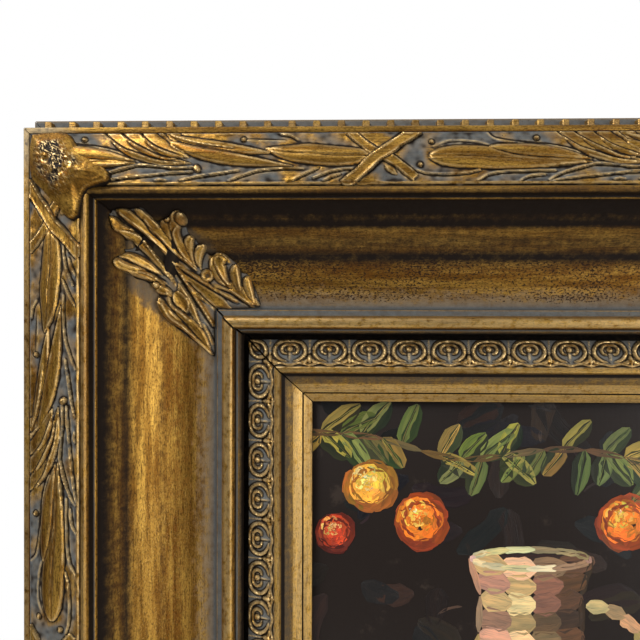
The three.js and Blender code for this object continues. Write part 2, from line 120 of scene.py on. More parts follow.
# Each light: place, what it faces, width, height, power.
corner = Vector((arris_left, -FRAME_DEPTH * MM, arris_top))
middle = Vector(((arris_left + arris_right) / 2, 0, (arris_top + arris_bottom) / 2))
LIGHTS = {
    "window": (corner + Vector((-0.8, -0.9, 1.0)), corner + Vector((0.15, 0, -0.1)), 0.8, 0.9, 26),
    "right fill": (corner + Vector((1.9, -1.4, -0.1)), middle, 1.1, 1.8, 22),
    "low fill": (corner + Vector((0.5, -1.4, -1.4)), middle, 1.2, 0.5, 3),
}
for name, (place, target, wide, high, power) in LIGHTS.items():
    lamp = bpy.data.lights.new(name, "AREA")
    lamp.shape = "RECTANGLE"
    lamp.size, lamp.size_y, lamp.energy = wide, high, power
    holder = bpy.data.objects.new(name, lamp)
    holder.location = place
    holder.rotation_euler = (target - place).to_track_quat("-Z", "Y").to_euler()
    bpy.context.scene.collection.objects.link(holder)

CAMERA = {"in": 138.5, "down": 83.5, "out": 273.3, "turn": 1.4, "tilt": -0.34, "roll": 0.12}
view = bpy.data.cameras.new("camera")
view.lens, view.sensor_width, view.clip_start = 35, 36, 0.01
camera = bpy.data.objects.new("camera", view)
camera.matrix_world = (
    Matrix.Translation(corner + Vector((CAMERA["in"], -CAMERA["out"], -CAMERA["down"])) * MM)
    @ Matrix.Rotation(math.radians(CAMERA["turn"]), 4, "Z")
    @ Matrix.Rotation(math.radians(90 + CAMERA["tilt"]), 4, "X")
    @ Matrix.Rotation(math.radians(CAMERA["roll"]), 4, "Z")
)
bpy.context.scene.collection.objects.link(camera)
bpy.context.scene.camera = camera
bpy.context.scene.view_settings.view_transform = "Standard"

# ---- Gold moulding ----
# Four mitred lengths of wood. The rail carries a garland of bay leaves, buds and crossed ribbons in pressed
# composition, and all is gessoed, gilded, rubbed and washed with grey, with painted shade in its hollows and
# painted highlight on its crests. The lengths are glued at their mitres.
GAP = 0.3
COARSE = 6.0  # spacing along plain lengths
CORNER_REACH = 58.0  # how far from each mitre the plain lengths have closer points
half_width = (arris_right - arris_left) / 2 / MM
half_height = (arris_top - arris_bottom) / 2 / MM
centre_x = (arris_left + arris_right) / 2 / MM
centre_z = (arris_top + arris_bottom) / 2 / MM

# Each side is worked out lying along X, as the top one does, and turned about Y into its place.
# start is where the garland's crossed ribbons lie along it, fine is the spacing of its carving's points,
# specks is how many dark specks it has, and the last is painted shade laid on its bead and scoop under the rail.
ACROSS = {"reach": half_height, "half": half_width, "start": -14.0}
UPRIGHT = {"reach": half_width, "half": half_height, "start": 85.5}
SIDES = [
    {"name": "top", "turn": 0, "fine": 0.5, "specks": 1.0, "rail_shade": 0.38, **ACROSS},
    {"name": "right", "turn": 90, "fine": 0.75, "specks": 0.5, "rail_shade": 0.0, **UPRIGHT},
    {"name": "bottom", "turn": 180, "fine": 0.75, "specks": 0.8, "rail_shade": 0.1, **ACROSS},
    {"name": "left", "turn": 270, "fine": 0.5, "specks": 0.12, "rail_shade": 0.0, **UPRIGHT},
]


def on_side(side, along, across, depth):
    """Points on a side: along it, in from the rail's arris and behind it, turned into place."""
    turn = math.radians(side["turn"])
    up = side["reach"] - across
    x = along * math.cos(turn) + up * math.sin(turn) + centre_x
    z = up * math.cos(turn) - along * math.sin(turn) + centre_z
    return np.stack([x, depth - FRAME_DEPTH, z], axis=-1) * MM


def soften(field, reach):
    """A field blurred over reach samples."""
    rows = np.fft.fftfreq(field.shape[0])[:, None]
    columns = np.fft.rfftfreq(field.shape[1])
    keep = np.exp(-2 * (np.pi * reach) ** 2 * (rows**2 + columns**2))
    return np.fft.irfft2(np.fft.rfft2(field) * keep, s=field.shape)


def path_of(points, count=28):
    """A smooth line through a few points, as evenly spaced points."""
    points = np.array(points, dtype=float)
    ends = np.vstack([2 * points[0] - points[1], points, 2 * points[-1] - points[-2]])
    t = np.linspace(0, 1, 12, endpoint=False)[:, None]
    pieces = []
    for a, b, c, d in zip(ends, ends[1:], ends[2:], ends[3:]):
        pieces.append(0.5 * (2 * b + (c - a) * t + (2 * a - 5 * b + 4 * c - d) * t**2 + (3 * b - a - 3 * c + d) * t**3))
    line = np.vstack(pieces + [points[-1:]])
    run = np.concatenate([[0], np.cumsum(np.hypot(*np.diff(line, axis=0).T))])
    even = np.linspace(0, run[-1], count)
    return np.stack([np.interp(even, run, line[:, i]) for i in (0, 1)], axis=1)


class Relief:
    """Carving laid out flat: heights over a plain ground, modelled form by form as a carver would."""

    STEP = 0.34

    def __init__(self, left, right, top, bottom, repeats=False):
        self.left, self.right, self.top, self.bottom = left, right, top, bottom
        self.period = right - left if repeats else None
        self.columns = round((right - left) / self.STEP)
        self.rows = round((bottom - top) / self.STEP)
        self.step_u = (right - left) / self.columns
        self.step_v = (bottom - top) / self.rows
        u = left + self.step_u * np.arange(self.columns)
        v = top + self.step_v * np.arange(self.rows)
        self.u, self.v = np.meshgrid(u, v)
        self.rise = np.zeros_like(self.u)
        self.red = np.zeros_like(self.u)
        self.gold = np.zeros_like(self.u)
        self.dark = np.zeros_like(self.u)
        self.cover = np.zeros_like(self.u)

    def follow(self, points):
        """How far along a line each point of the surface is, from 0 to 1, and its distance to one side."""
        path = path_of(points)
        u = self.u
        if self.period:
            u = u + self.period * np.round((path[:, 0].mean() - u) / self.period)
        nearest = np.full_like(u, np.inf)
        along = np.zeros_like(u)
        side = np.zeros_like(u)
        for i, (start, end) in enumerate(zip(path, path[1:])):
            step = end - start
            t = ((u - start[0]) * step[0] + (self.v - start[1]) * step[1]) / (step @ step)
            t = np.clip(t, 0, 1)
            du = u - start[0] - t * step[0]
            dv = self.v - start[1] - t * step[1]
            distance = np.hypot(du, dv)
            nearer = distance < nearest
            nearest = np.where(nearer, distance, nearest)
            along = np.where(nearer, (i + t) / (len(path) - 1), along)
            side = np.where(nearer, np.sign(step[0] * dv - step[1] * du), side)
        return along, nearest * side

    def outline(self, points):
        """How far inside a closed outline each point of the surface is, or outside it if below 0."""
        path = path_of([*points, points[0]], 6 * len(points))
        nearest = np.full_like(self.u, np.inf)
        within = np.zeros(self.u.shape, dtype=bool)
        for start, end in zip(path, path[1:]):
            step = end - start
            t = ((self.u - start[0]) * step[0] + (self.v - start[1]) * step[1]) / (step @ step)
            t = np.clip(t, 0, 1)
            nearest = np.minimum(nearest, np.hypot(self.u - start[0] - t * step[0], self.v - start[1] - t * step[1]))
            level = (start[1] > self.v) != (end[1] > self.v)
            rate = step[0] / step[1] if step[1] else 0.0
            within ^= level & (self.u < start[0] + (self.v - start[1]) * rate)
        return np.where(within, nearest, -nearest)

    def lay(self, inside, top, moat=0.45, red=0.0, gold=1.0, dark=0.0):
        """Sets a form on the surface; inside is the depth within its edge. A cut runs round it."""
        cover = np.clip(inside / 0.34 + 0.5, 0, 1)
        cut = np.clip(1 + inside / 0.75, 0, 1) * (inside < 0)
        self.rise = (self.rise - moat * cut) * (1 - cover) + top * cover
        self.red = self.red * (1 - cover) + red * cover
        self.gold = self.gold * (1 - cover) + gold * cover
        self.dark = self.dark * (1 - cover) + dark * cover
        self.cover = np.maximum(self.cover, np.clip(inside / 0.7 + 0.6, 0, 1))

    def leaf(self, points, wide, high, peak=0.45, start=0.7, end=0.9, rib=0.0, cup=0.0, tilt=0.0, red=0.0, gold=1.0, dark=0.0):
        """A blade along a line, widest at peak; start and end shape its tips, blunt if small."""
        along, offset = self.follow(points)
        before = np.sin(np.pi / 2 * np.clip(along / peak, 0, 1)) ** start
        after = np.sin(np.pi / 2 * np.clip((1 - along) / (1 - peak), 0, 1)) ** end
        reach = wide * np.minimum(before, after)
        x = np.clip(offset / np.maximum(reach, 0.05), -1, 1)
        body = (1 - np.abs(x) ** 4.0) ** 0.6 * (1 - cup) + cup * (0.35 + 0.65 * np.abs(x) ** 2)
        body = body - rib * np.exp(-((offset / 0.34) ** 2)) + tilt * x
        swell = 0.45 + 0.55 * np.minimum(before, after)
        # Red laid on one side of the blade is painted shade on that side, in the dark red of the bole.
        shade = red * np.clip(x * 1.6 + 0.1, 0, 1)
        self.lay(reach - np.abs(offset), high * body * swell, red=shade, gold=gold, dark=dark)

    def ridge(self, points, wide, high, lean=1.0, slope=1.5):
        """A thin crest that a slope climbs to, with a steep drop and a cut beyond it on the side it leans to."""
        along, offset = self.follow(points)
        x = offset * lean
        fade = np.sin(np.pi * np.clip(along * 0.94 + 0.03, 0, 1)) ** 0.35
        crest = np.where(x < 0, 0.45 * np.exp(x / slope) + 0.55 * np.exp(-((x / wide) ** 2)), np.exp(-((x / wide) ** 2)))
        gutter = np.exp(-(((x - 1.7 * wide) / (0.75 * wide)) ** 2))
        self.rise = self.rise + fade * high * (crest - 0.7 * gutter)

    def ribbon(self, points, wide, high):
        along, offset = self.follow(points)
        x = np.abs(offset) / wide
        wave = 0.35 * np.sin(along * 17) * np.clip(1 - x, 0, 1)
        top = high * (0.72 + 0.34 * np.exp(-(((x - 0.86) / 0.13) ** 2)) + 0.25 * wave)
        keep = np.minimum(along, 1 - along) > 0.004
        self.lay(np.where(keep, wide * (1 + 0.06 * np.sin(along * 23)) - np.abs(offset), -2), top, moat=0.9)

    def dome(self, u, v, radius, high, cup=0.0):
        away = np.hypot(self.distance(u), self.v - v) / radius
        body = np.sqrt(np.clip(1 - away**2, 0, 1)) * (1 - cup) + cup * np.exp(-(((away - 0.75) / 0.25) ** 2))
        self.lay(radius * (1 - away), high * body, moat=0.7)

    def distance(self, u):
        gap = self.u - u
        return gap - self.period * np.round(gap / self.period) if self.period else gap

    def finish(self, reach=0.8):
        """Works out the hollows, darkened by gathered paint and painted shade, and the crests, rubbed bright and given
        painted highlight.
        """
        mean = soften(self.rise, reach / self.STEP)
        near = soften(self.rise, 0.5 / self.STEP)
        self.crease = np.clip((mean - self.rise) / 0.42 - 0.12 + self.dark, 0, 1)
        self.edge = np.clip((self.rise - near) / 0.2 - 0.25, 0, 1)

    def read(self, field, u, v):
        x = (u - self.left) / self.step_u
        y = np.clip((v - self.top) / self.step_v, 0, self.rows - 1.001)
        x = x % self.columns if self.period else np.clip(x, 0, self.columns - 1.001)
        i, j = x.astype(int), y.astype(int)
        across, down = x - i, y - j
        i, after = i % self.columns, (i + 1) % self.columns
        upper = field[j, i] * (1 - across) + field[j, after] * across
        lower = field[j + 1, i] * (1 - across) + field[j + 1, after] * across
        return upper * (1 - down) + lower * down


# The garland's repeat, from one crossing of its ribbons. Places run along it and in from the arris.
GARLAND_PERIOD = 198.0
RAIL = {"start": 2.9, "end": 26.9}
garland = Relief(-75, 123, 0, 27.4, repeats=True)
blotch = np.random.default_rng(4).normal(size=garland.u.shape)
patches = soften(blotch, 10)
patches = patches / patches.std()
garland.rise += 0.14 * patches + 1.3 * soften(blotch, 3)
garland.gold = np.clip(0.3 + 0.3 * patches, 0.02, 0.85)
garland.dark += 0.42
BLADES = [
    [(-73, 2.5), (-82.5, 10), (-89.4, 12.8), (-98.6, 15.9), (-110, 17.2)],
    [(-81, 2.6), (-87.1, 7.7), (-98.6, 13.8), (-104, 15.2)],
    [(-89, 2.4), (-97.2, 9.6), (-109.5, 14.6)],
    [(-99.5, 2.4), (-105.5, 8.7), (-111.5, 13)],
]
for blade in BLADES:
    garland.leaf([(u - 3.4, v - 0.2) for u, v in blade], 3.3, 0.75, peak=0.4, tilt=-0.3, start=0.3, gold=0.66, dark=0.2)
for blade in BLADES:
    garland.ridge(blade, 0.45, 1.05, lean=1, slope=2.2)
# Long leaves on the outer side, under the bud.
garland.leaf([(95, 4.0), (84, 7.2), (72, 9.6), (62, 11), (49, 12.4)], 2.5, 1.25, peak=0.5, tilt=0.25)
garland.leaf([(95, 6.8), (83, 11.6), (69, 14.7), (57, 16.4), (40, 18.4)], 2.9, 1.45, peak=0.4, tilt=0.3, red=0.7)
garland.ridge([(96, 2.6), (90, 5.4), (80, 8.1), (66, 10.2)], 0.4, 0.6, lean=-1)
garland.ridge([(45.4, 3.4), (41, 4.3), (37.9, 6.1)], 0.5, 0.8, lean=-1)
garland.ridge([(61, 6.5), (52, 6.7), (43.6, 6.9)], 0.4, 0.45, lean=1)
garland.ridge([(-44.7, 3.6), (-47.5, 6.1), (-54.9, 7.8), (-68.7, 9.2), (-79.3, 11.4), (-86, 14.2)], 0.5, 0.8)
garland.ridge([(-21, 9.5), (-28, 6.8), (-38, 7.2), (-46, 9)], 0.5, 0.5, lean=-1)
# Small slanting leaves along the inner edge.
INNER_LEAVES = [
    [(89, 24.4), (80.5, 22.5), (64, 20.1)],
    [(93.4, 19.2), (88, 18.9), (83, 18.5)],
    [(93.4, 21.2), (88, 21), (84.5, 20.5)],
    [(68, 24.6), (61.3, 22.1), (54.7, 20.1), (44.5, 19.3), (35.6, 19.3)],
    [(40, 24.4), (36.1, 22.2), (29, 19.1)],
    [(31.2, 23.4), (23.8, 20.7), (17.1, 19.4), (13.6, 19.4)],
    [(26.8, 24.5), (23, 23), (19.7, 21.8)],
    [(-14.1, 20.4), (-18, 21.5), (-26.8, 22), (-35.5, 21.4), (-40.7, 20.1)],
    [(-39.7, 24.7), (-46.6, 21.5), (-60.9, 20.6), (-72.9, 20.4)],
    [(-57.7, 25), (-61.9, 22.9), (-68.3, 22.2)],
    [(-70.2, 24.5), (-75.7, 21.6), (-85.8, 18.6)],
    [(-70.6, 25), (-78, 23.9), (-94.1, 22.2), (-110, 20.5)],
    [(-77.7, 20.8), (-85.3, 18.8), (-92, 17.5), (-107.7, 19.1)],
    [(-98, 24.4), (-100, 24), (-102.5, 24.3)],
]
for leaf in INNER_LEAVES:
    garland.ridge(leaf, 0.42, 1.15, lean=-1, slope=1.3)
# The buds: one pointed and veined, one round at its start with a darker leaf lying over it.
BUD = [(-19, 14.2), (-30, 14.2), (-41, 14.6), (-55, 15.6), (-73, 16.4), (-90, 16.8)]
garland.leaf(BUD, 5.2, 1.8, 0.22, 0.45, 1.0, rib=0.3)
garland.leaf([(-45, 9.8), (-55, 11), (-63, 11.7), (-75, 13), (-89, 15.8)], 2.9, 1.9, 0.4, 0.6, 0.9, red=1.0)
garland.leaf([(52, 10.4), (43, 12.3), (33, 12.8), (22, 13.8), (6, 13.9)], 4.7, 1.8, 0.48, 0.75, 0.3, rib=0.34)
# Crossed ribbons, and berries on their stalks.
garland.ribbon([(15.5, 2), (10.5, 7.1), (5, 11.5), (-2.2, 15), (-6.5, 18), (-13, 23.5)], 1.9, 1.0)
garland.ribbon([(18, 27), (10, 20), (4.5, 14.7), (-2.2, 10.2), (-6, 7.3), (-15, 1.2)], 2.45, 1.7)
garland.leaf([(0, 18.4), (-2.5, 20), (-5, 22.2)], 1.3, 0.8, start=0.4)
for u, v in [(61.7, 6), (-20.2, 7.5), (-15.2, 17.8), (-65.7, 5.8)]:
    garland.dome(u, v, 0.95, 1.7)
garland.leaf([(82.9, 18.2), (81.8, 19.3), (81, 20.6)], 1.3, 1.5, start=0.2, end=0.2)
# Plain fillets close the field on both sides.
FILLET = 2.7  # width of the plain gold edge outside the field
outer = np.clip((FILLET + 0.7 - garland.v) / 0.4, 0, 1)
inner = np.exp(-(((garland.v - 25.7) / 0.45) ** 2))
garland.rise = garland.rise * (1 - outer) * (1 - inner) + 0.45 * inner
garland.rise -= 0.6 * np.exp(-(((garland.v - 26.7) / 0.3) ** 2))
garland.gold = np.maximum(garland.gold * (1 - outer), inner)
garland.finish()
garland.red = np.maximum(garland.red, np.clip((FILLET + 1.0 - garland.v) / 0.5, 0, 1))

# The face across, with how much gold (1) or wash (0) it shows, the dark paint gathered with painted shade in its steps
# and gaps, the bole laid bare.
COVE = {"from": (31.9, 3.6), "bend": (49.8, 31.4), "to": (80.1, 32.4), "steps": 34}
FACE_OUTER = [(0, 0.6, 1, 0, 0), (0.05, 0.1, 1, 0, 0), (0.4, -0.35, 1, 0, 0), (2.3, -0.45, 1, 0, 0.2)]
FACE_OUTER += [(2.7, -0.3, 1, 0.3, 1), (2.9, 0.9, 0.5, 1, 1), (12, -0.9, 0.5, 1, 0), (26.8, -1.4, 0.3, 1, 0)]
BEAD = [(26.95, -3.2, 0.6, 0.7, 0), (27.25, -4.0, 1, 0, 0), (27.9, -4.45, 1, 0, 0), (28.7, -4.6, 1, 0.05, 0.2)]
BEAD += [(29.5, -4.25, 1, 0.1, 0.2), (30.1, -3.4, 1, 0.25, 0), (30.35, -2.4, 0.9, 0.7, 0), (30.4, 1.4, 0.5, 1, 0)]
BEAD += [(31.0, 1.8, 0.2, 0.25, 0), (31.5, 2.1, 0.8, 0, 0), (31.75, 2.6, 1, 0.1, 0)]
FACE_INNER = [(80.4, 31.1, 0.1, 0.2, 0), (80.7, 30.9, 0.6, 0, 0), (81.0, 30.9, 0.05, 0, 0), (83.1, 30.6, 0.1, 0, 0)]
FACE_INNER += [(83.4, 29.6, 0.7, 0.5, 0)]
FACE_INNER += [
    (86.5 - 3.0 * np.sign(math.cos(a)) * abs(math.cos(a)) ** 0.8, 28.4 - 3.2 * math.sin(a) ** 0.7, 1, 0, red)
    for a, red in zip(np.radians(np.arange(6, 180, 14)), (0, 0.2, 0.5, 0.7, 0.4, 0, 0, 0, 0, 0, 0, 0, 0.4))
]
FACE_INNER += [(89.7, 30.3, 0.6, 1, 0.6), (90.1, 31.6, 0.1, 0.2, 0), (90.5, 32.2, 0.1, 0.1, 0)]
FACE_INNER += [(90.8, 32.3, 0.5, 0.3, 0.2), (91.6, 34.4, 0.4, 0.5, 0), (92.3, 37.6, 0.3, 0.8, 0), (92.6, 38.7, 0, 1, 0)]
BACK = [(92.6, 39.7), (86.2, 39.7), (86.2, 68), (-12, 68), (-12, 60), (-17.2, 54), (-17.2, 46), (-15.6, 45.9)]
BACK += [(-15.5, 44.4), (-10.5, 44.4)]
BACK_TONES = {9: (0, 0.2, 0), 8: (0, 0.2, 0), 7: (0.1, 0.1, 0), 6: (0.35, 0, 0)}
DENTIL = {"pitch": 12.45, "first": 9.0, "wide": 4.1, "outer": -15.4, "inner": -10.2, "front": 40.8, "back": 45}


def bend(start, control, end, steps):
    t = np.linspace(0, 1, steps + 1)[:, None]
    a, b, c = (np.array(p) for p in (start, control, end))
    return (1 - t) ** 2 * a + 2 * t * (1 - t) * b + t**2 * c


cove = bend(COVE["from"], COVE["bend"], COVE["to"], COVE["steps"])
# Painted shade is darkest under the bead, with bands of darker paint and shade further in; the wash thickens over the
# scoop's inner part; bole shows in its middle.
cove_shade_and_dark_paint = np.interp(cove[:, 0], [31, 35, 38, 41, 43, 52, 55, 58, 79, 80.1], [0.95, 0.6, 0.4, 0.62, 0.3, 0.1, 0.38, 0.1, 0, 0.4])
gold_share = np.interp(cove[:, 0], [31, 62, 70, 75, 79, 80.1], [1, 1, 0.62, 0.42, 0.25, 0])
bare = np.interp(cove[:, 0], [34, 37, 40, 46, 56, 62, 67, 72], [0.2, 0.45, 0.2, 0, 0.3, 0.5, 0.2, 0])
flank = bend((-10.5, 38), (-1.5, 30), (-0.9, 5), 8)
section = [*FACE_OUTER, *BEAD]
section += [(w, t, gold, dark, red) for (w, t), gold, dark, red in zip(cove, gold_share, cove_shade_and_dark_paint, bare)]
section += FACE_INNER
section += [(w, t, *BACK_TONES.get(i, (0.6, 0.3, 0))) for i, (w, t) in enumerate(BACK)] + [(w, t, 0.9, 0.1, 0) for w, t in flank]
section = np.array(section + section[:1])


def cove_depth(across):
    """Depth of the plain face behind the arris, for what is planted on it."""
    count = len(FACE_OUTER) + len(BEAD) + len(cove) + len(FACE_INNER)
    return np.interp(across, section[:count, 0], section[:count, 1])


RAIL_GROUND = ([2.9, 4.4, 12, 25.2, 26.9], [-0.1, -0.2, -2.6, -3.7, -3.1])


def closed_bar(bm, points, run, patina):
    """Adds a bar to bm from rows of points that go once round it; its two ends are filled."""
    rows, columns = points.shape[0] - 1, points.shape[1] - 1
    mesh = bpy.data.meshes.new("bar")
    sheet = bmesh.new()
    bmesh.ops.create_grid(sheet, x_segments=columns, y_segments=rows, size=0.5)
    sheet.to_mesh(mesh)
    sheet.free()
    mesh.vertices.foreach_set("co", points.astype(np.float32).ravel())
    mesh.attributes.new("run", "FLOAT_VECTOR", "POINT").data.foreach_set("vector", run.astype(np.float32).ravel())
    colour = mesh.attributes.new("patina", "FLOAT_COLOR", "POINT")
    colour.data.foreach_set("color", patina.astype(np.float32).ravel())
    sheet = bmesh.new()
    sheet.from_mesh(mesh)
    sheet.verts.ensure_lookup_table()
    seam = [v for v in sheet.verts if v.index <= columns or v.index >= rows * (columns + 1)]
    bmesh.ops.remove_doubles(sheet, verts=seam, dist=1e-7)
    bmesh.ops.holes_fill(sheet, edges=[e for e in sheet.edges if e.is_boundary], sides=0)
    bmesh.ops.recalc_face_normals(sheet, faces=sheet.faces)
    sheet.to_mesh(mesh)
    sheet.free()
    bm.from_mesh(mesh)
    bpy.data.meshes.remove(mesh)


def finished(name, bm, material, slot, *nodes, sharp=32):
    """Makes the piece from bm, in place of the solids that it finishes."""
    mesh = bpy.data.meshes.new(name)
    bm.to_mesh(mesh)
    bm.free()
    mesh.shade_smooth()
    mesh.set_sharp_from_angle(angle=math.radians(sharp))
    mesh.materials.append(material)
    piece = bpy.data.objects.new(name, mesh)
    bpy.context.scene.collection.objects.link(piece)
    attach(piece, "root")
    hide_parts(*nodes)
    return piece


def mitred(side, across, spacing, closer=None):
    """Points along a side for each distance in from the arris, running from mitre to mitre."""
    crack = np.interp(across, [40, 78, 106, 120], [GAP, 0.95, 0.95, 0.45])
    ends = (side["half"] - across - crack / math.sqrt(2))[:, None]
    if not closer:
        steps = round(2 * side["half"] / spacing)
        return np.linspace(-1, 1, steps + 1)[None, :] * ends
    near = np.arange(0, CORNER_REACH, closer)[None, :]
    steps = round(2 * (side["half"] - 130 - CORNER_REACH) / spacing)
    middle_run = np.linspace(-1, 1, steps + 1)[None, :] * (ends - CORNER_REACH)
    return np.concatenate([near - ends, middle_run, (ends - near)[:, ::-1]], axis=1)


def run_of(side, along, across):
    """Lengthwise and crosswise place in metres, different on each side, for streaks and specks."""
    return np.stack([along * MM + side["turn"] / 45, across * MM, 0 * along + side["specks"]], axis=-1)


def node(tree, kind, plugs=(), **settings):
    """A shader node with its settings, and its inputs set to values or joined to other sockets."""
    made = tree.nodes.new(kind)
    for key, value in settings.items():
        setattr(made, key, value)
    for key, value in dict(plugs).items():
        if isinstance(value, bpy.types.NodeSocket):
            tree.links.new(value, made.inputs[key])
        else:
            made.inputs[key].default_value = value
    return made


def blend(tree, factor, first, second, kind="MIX"):
    made = node(tree, "ShaderNodeMix", {0: factor, 6: first, 7: second}, data_type="RGBA", blend_type=kind)
    return made.outputs[2]


def sum_of(tree, kind, first, second, clamp=False):
    return node(tree, "ShaderNodeMath", {0: first, 1: second}, operation=kind, use_clamp=clamp).outputs[0]


def between(tree, value, low, high):
    """0 where value is under low, 1 where it is over high."""
    made = node(tree, "ShaderNodeMapRange", {0: value, 1: low, 2: high}, interpolation_type="SMOOTHSTEP")
    return made.outputs[0]


def noise(tree, place, stretch, scale, detail=4.0, roughness=0.55):
    spread = node(tree, "ShaderNodeMapping", {"Vector": place, "Scale": stretch}).outputs[0]
    plugs = {"Vector": spread, "Scale": scale, "Detail": detail, "Roughness": roughness}
    return node(tree, "ShaderNodeTexNoise", plugs).outputs["Fac"]


def gilding(name, light, shadow, streak, broad, speck=0.0, hatch=False, grain=0.00012):
    """Gold leaf over gesso: streaked, rubbed and given painted highlight on its crests, washed in its hollows, dark in
    its cuts with paint and painted shade.
    """
    material = bpy.data.materials.new(name)
    material.use_nodes = True
    tree = material.node_tree
    shader = tree.nodes["Principled BSDF"]
    patina = node(tree, "ShaderNodeAttribute", attribute_name="patina")
    parts = node(tree, "ShaderNodeSeparateColor", {0: patina.outputs["Color"]})
    gold, crease, edge = parts.outputs[0], parts.outputs[1], parts.outputs[2]
    red = patina.outputs["Alpha"]
    run = node(tree, "ShaderNodeAttribute", attribute_name="run").outputs["Vector"]
    streaks = noise(tree, run, (*streak, 1), 1.0, 5.0, 0.62)
    bands = noise(tree, run, (*broad, 1), 1.0, 4.0, 0.6)
    patches = noise(tree, run, (17, 31, 1), 1.0, 4.0)
    cloud = noise(tree, run, (260, 300, 1), 1.0, 6.0, 0.68)
    fine = noise(tree, run, (1300, 1500, 1), 1.0, 2.0)
    tone = blend(tree, between(tree, bands, 0.36, 0.66), shadow, light)
    tone = blend(tree, sum_of(tree, "MULTIPLY", between(tree, streaks, 0.5, 0.68), 0.75), tone, (0.09, 0.042, 0.008, 1))
    bright = sum_of(tree, "MULTIPLY", between(tree, fine, 0.5, 0.75), between(tree, patches, 0.35, 0.7))
    tone = blend(tree, sum_of(tree, "MULTIPLY", bright, 0.5), tone, (0.72, 0.46, 0.15, 1))
    # The red bole shows through where it is laid bare, and stands for painted shade on one side of some leaves.
    bole_and_shade = sum_of(tree, "MULTIPLY", red, between(tree, cloud, 0.4, 0.62))
    tone = blend(tree, bole_and_shade, tone, (0.19, 0.045, 0.006, 1))
    low = sum_of(tree, "SUBTRACT", 1.0, gold)
    wiry = noise(tree, run, (700, 1900, 1), 1.0, 3.0)
    tone = blend(tree, sum_of(tree, "MULTIPLY", between(tree, wiry, 0.47, 0.66), 0.6), tone, (0.05, 0.022, 0.006, 1))
    washed = between(tree, sum_of(tree, "ADD", low, sum_of(tree, "MULTIPLY", cloud, 0.8)), 0.68, 1.12)
    wash = blend(tree, between(tree, gold, 0.12, 0.42), (0.135, 0.155, 0.16, 1), (0.27, 0.195, 0.115, 1))
    wash = blend(tree, between(tree, cloud, 0.3, 0.7), blend(tree, 0.5, wash, (0.06, 0.05, 0.04, 1)), wash)
    tone = blend(tree, sum_of(tree, "MULTIPLY", washed, 0.92), tone, wash)
    plain = washed
    if speck:
        axes = node(tree, "ShaderNodeSeparateXYZ", {0: run}).outputs
        specks = noise(tree, run, (750, 1150, 1), 1.0, 4.0, 0.65)
        thick = sum_of(tree, "MULTIPLY", between(tree, axes["Y"], 0.046, 0.06), between(tree, axes["Y"], 0.079, 0.074))
        thick = sum_of(tree, "ADD", thick, sum_of(tree, "MULTIPLY", between(tree, patches, 0.42, 0.7), 0.6))
        thick = sum_of(tree, "MULTIPLY", thick, axes["Z"])
        limit = sum_of(tree, "SUBTRACT", 0.7, sum_of(tree, "MULTIPLY", thick, 0.155))
        spotted = between(tree, sum_of(tree, "SUBTRACT", specks, limit), 0.0, 0.045)
        tone = blend(tree, sum_of(tree, "MULTIPLY", spotted, speck), tone, (0.028, 0.011, 0.004, 1))
        plain = sum_of(tree, "MAXIMUM", washed, spotted)
    # Near black in the hollows and cuts: dark paint there, and painted shade.
    dark = between(tree, sum_of(tree, "ADD", crease, sum_of(tree, "MULTIPLY", cloud, 0.5)), 0.42, 1.0)
    tone = blend(tree, dark, tone, (0.012, 0.006, 0.0025, 1))
    if hatch:
        one = node(tree, "ShaderNodeMapping", {"Vector": run, "Rotation": (0, 0, 0.4)}).outputs[0]
        other = node(tree, "ShaderNodeMapping", {"Vector": run, "Rotation": (0, 0, -0.35)}).outputs[0]
        cuts = sum_of(tree, "MAXIMUM", *[noise(tree, v, (330, 1500, 1), 1.0, 4.0, 0.6) for v in (one, other)])
        rubbed_and_highlit = sum_of(tree, "MULTIPLY", edge, between(tree, cuts, 0.55, 0.64))
    else:
        rubbed_and_highlit = sum_of(tree, "MULTIPLY", edge, between(tree, cloud, 0.32, 0.55))
    # Rubbed gold on the crests, partly painted highlight.
    tone = blend(tree, rubbed_and_highlit, tone, (0.82, 0.58, 0.26, 1))
    plain = sum_of(tree, "MAXIMUM", sum_of(tree, "MULTIPLY", plain, 0.9), dark)
    plain = sum_of(tree, "SUBTRACT", plain, rubbed_and_highlit, True)
    metal = sum_of(tree, "MULTIPLY", sum_of(tree, "SUBTRACT", 1.0, plain, True), 0.85)
    rough = sum_of(tree, "ADD", sum_of(tree, "MULTIPLY", cloud, 0.34), 0.24)
    rough = sum_of(tree, "ADD", rough, sum_of(tree, "MULTIPLY", plain, 0.3))
    relief = sum_of(tree, "ADD", sum_of(tree, "MULTIPLY", streaks, -0.9), sum_of(tree, "MULTIPLY", fine, 0.5))
    relief = sum_of(tree, "ADD", relief, sum_of(tree, "MULTIPLY", cloud, 0.8))
    bump = node(tree, "ShaderNodeBump", {"Height": relief, "Distance": grain, "Strength": 1.0})
    tree.links.new(tone, shader.inputs["Base Color"])
    tree.links.new(metal, shader.inputs["Metallic"])
    tree.links.new(rough, shader.inputs["Roughness"])
    tree.links.new(bump.outputs[0], shader.inputs["Normal"])
    shader.inputs["Specular IOR Level"].default_value = 0.22
    return material


GOLD_LIGHT = (0.62, 0.345, 0.062, 1)
GOLD_SHADOW = (0.26, 0.118, 0.016, 1)
moulding_finish = gilding("antique gold", GOLD_LIGHT, GOLD_SHADOW, (120, 1300), (16, 260), speck=0.95)

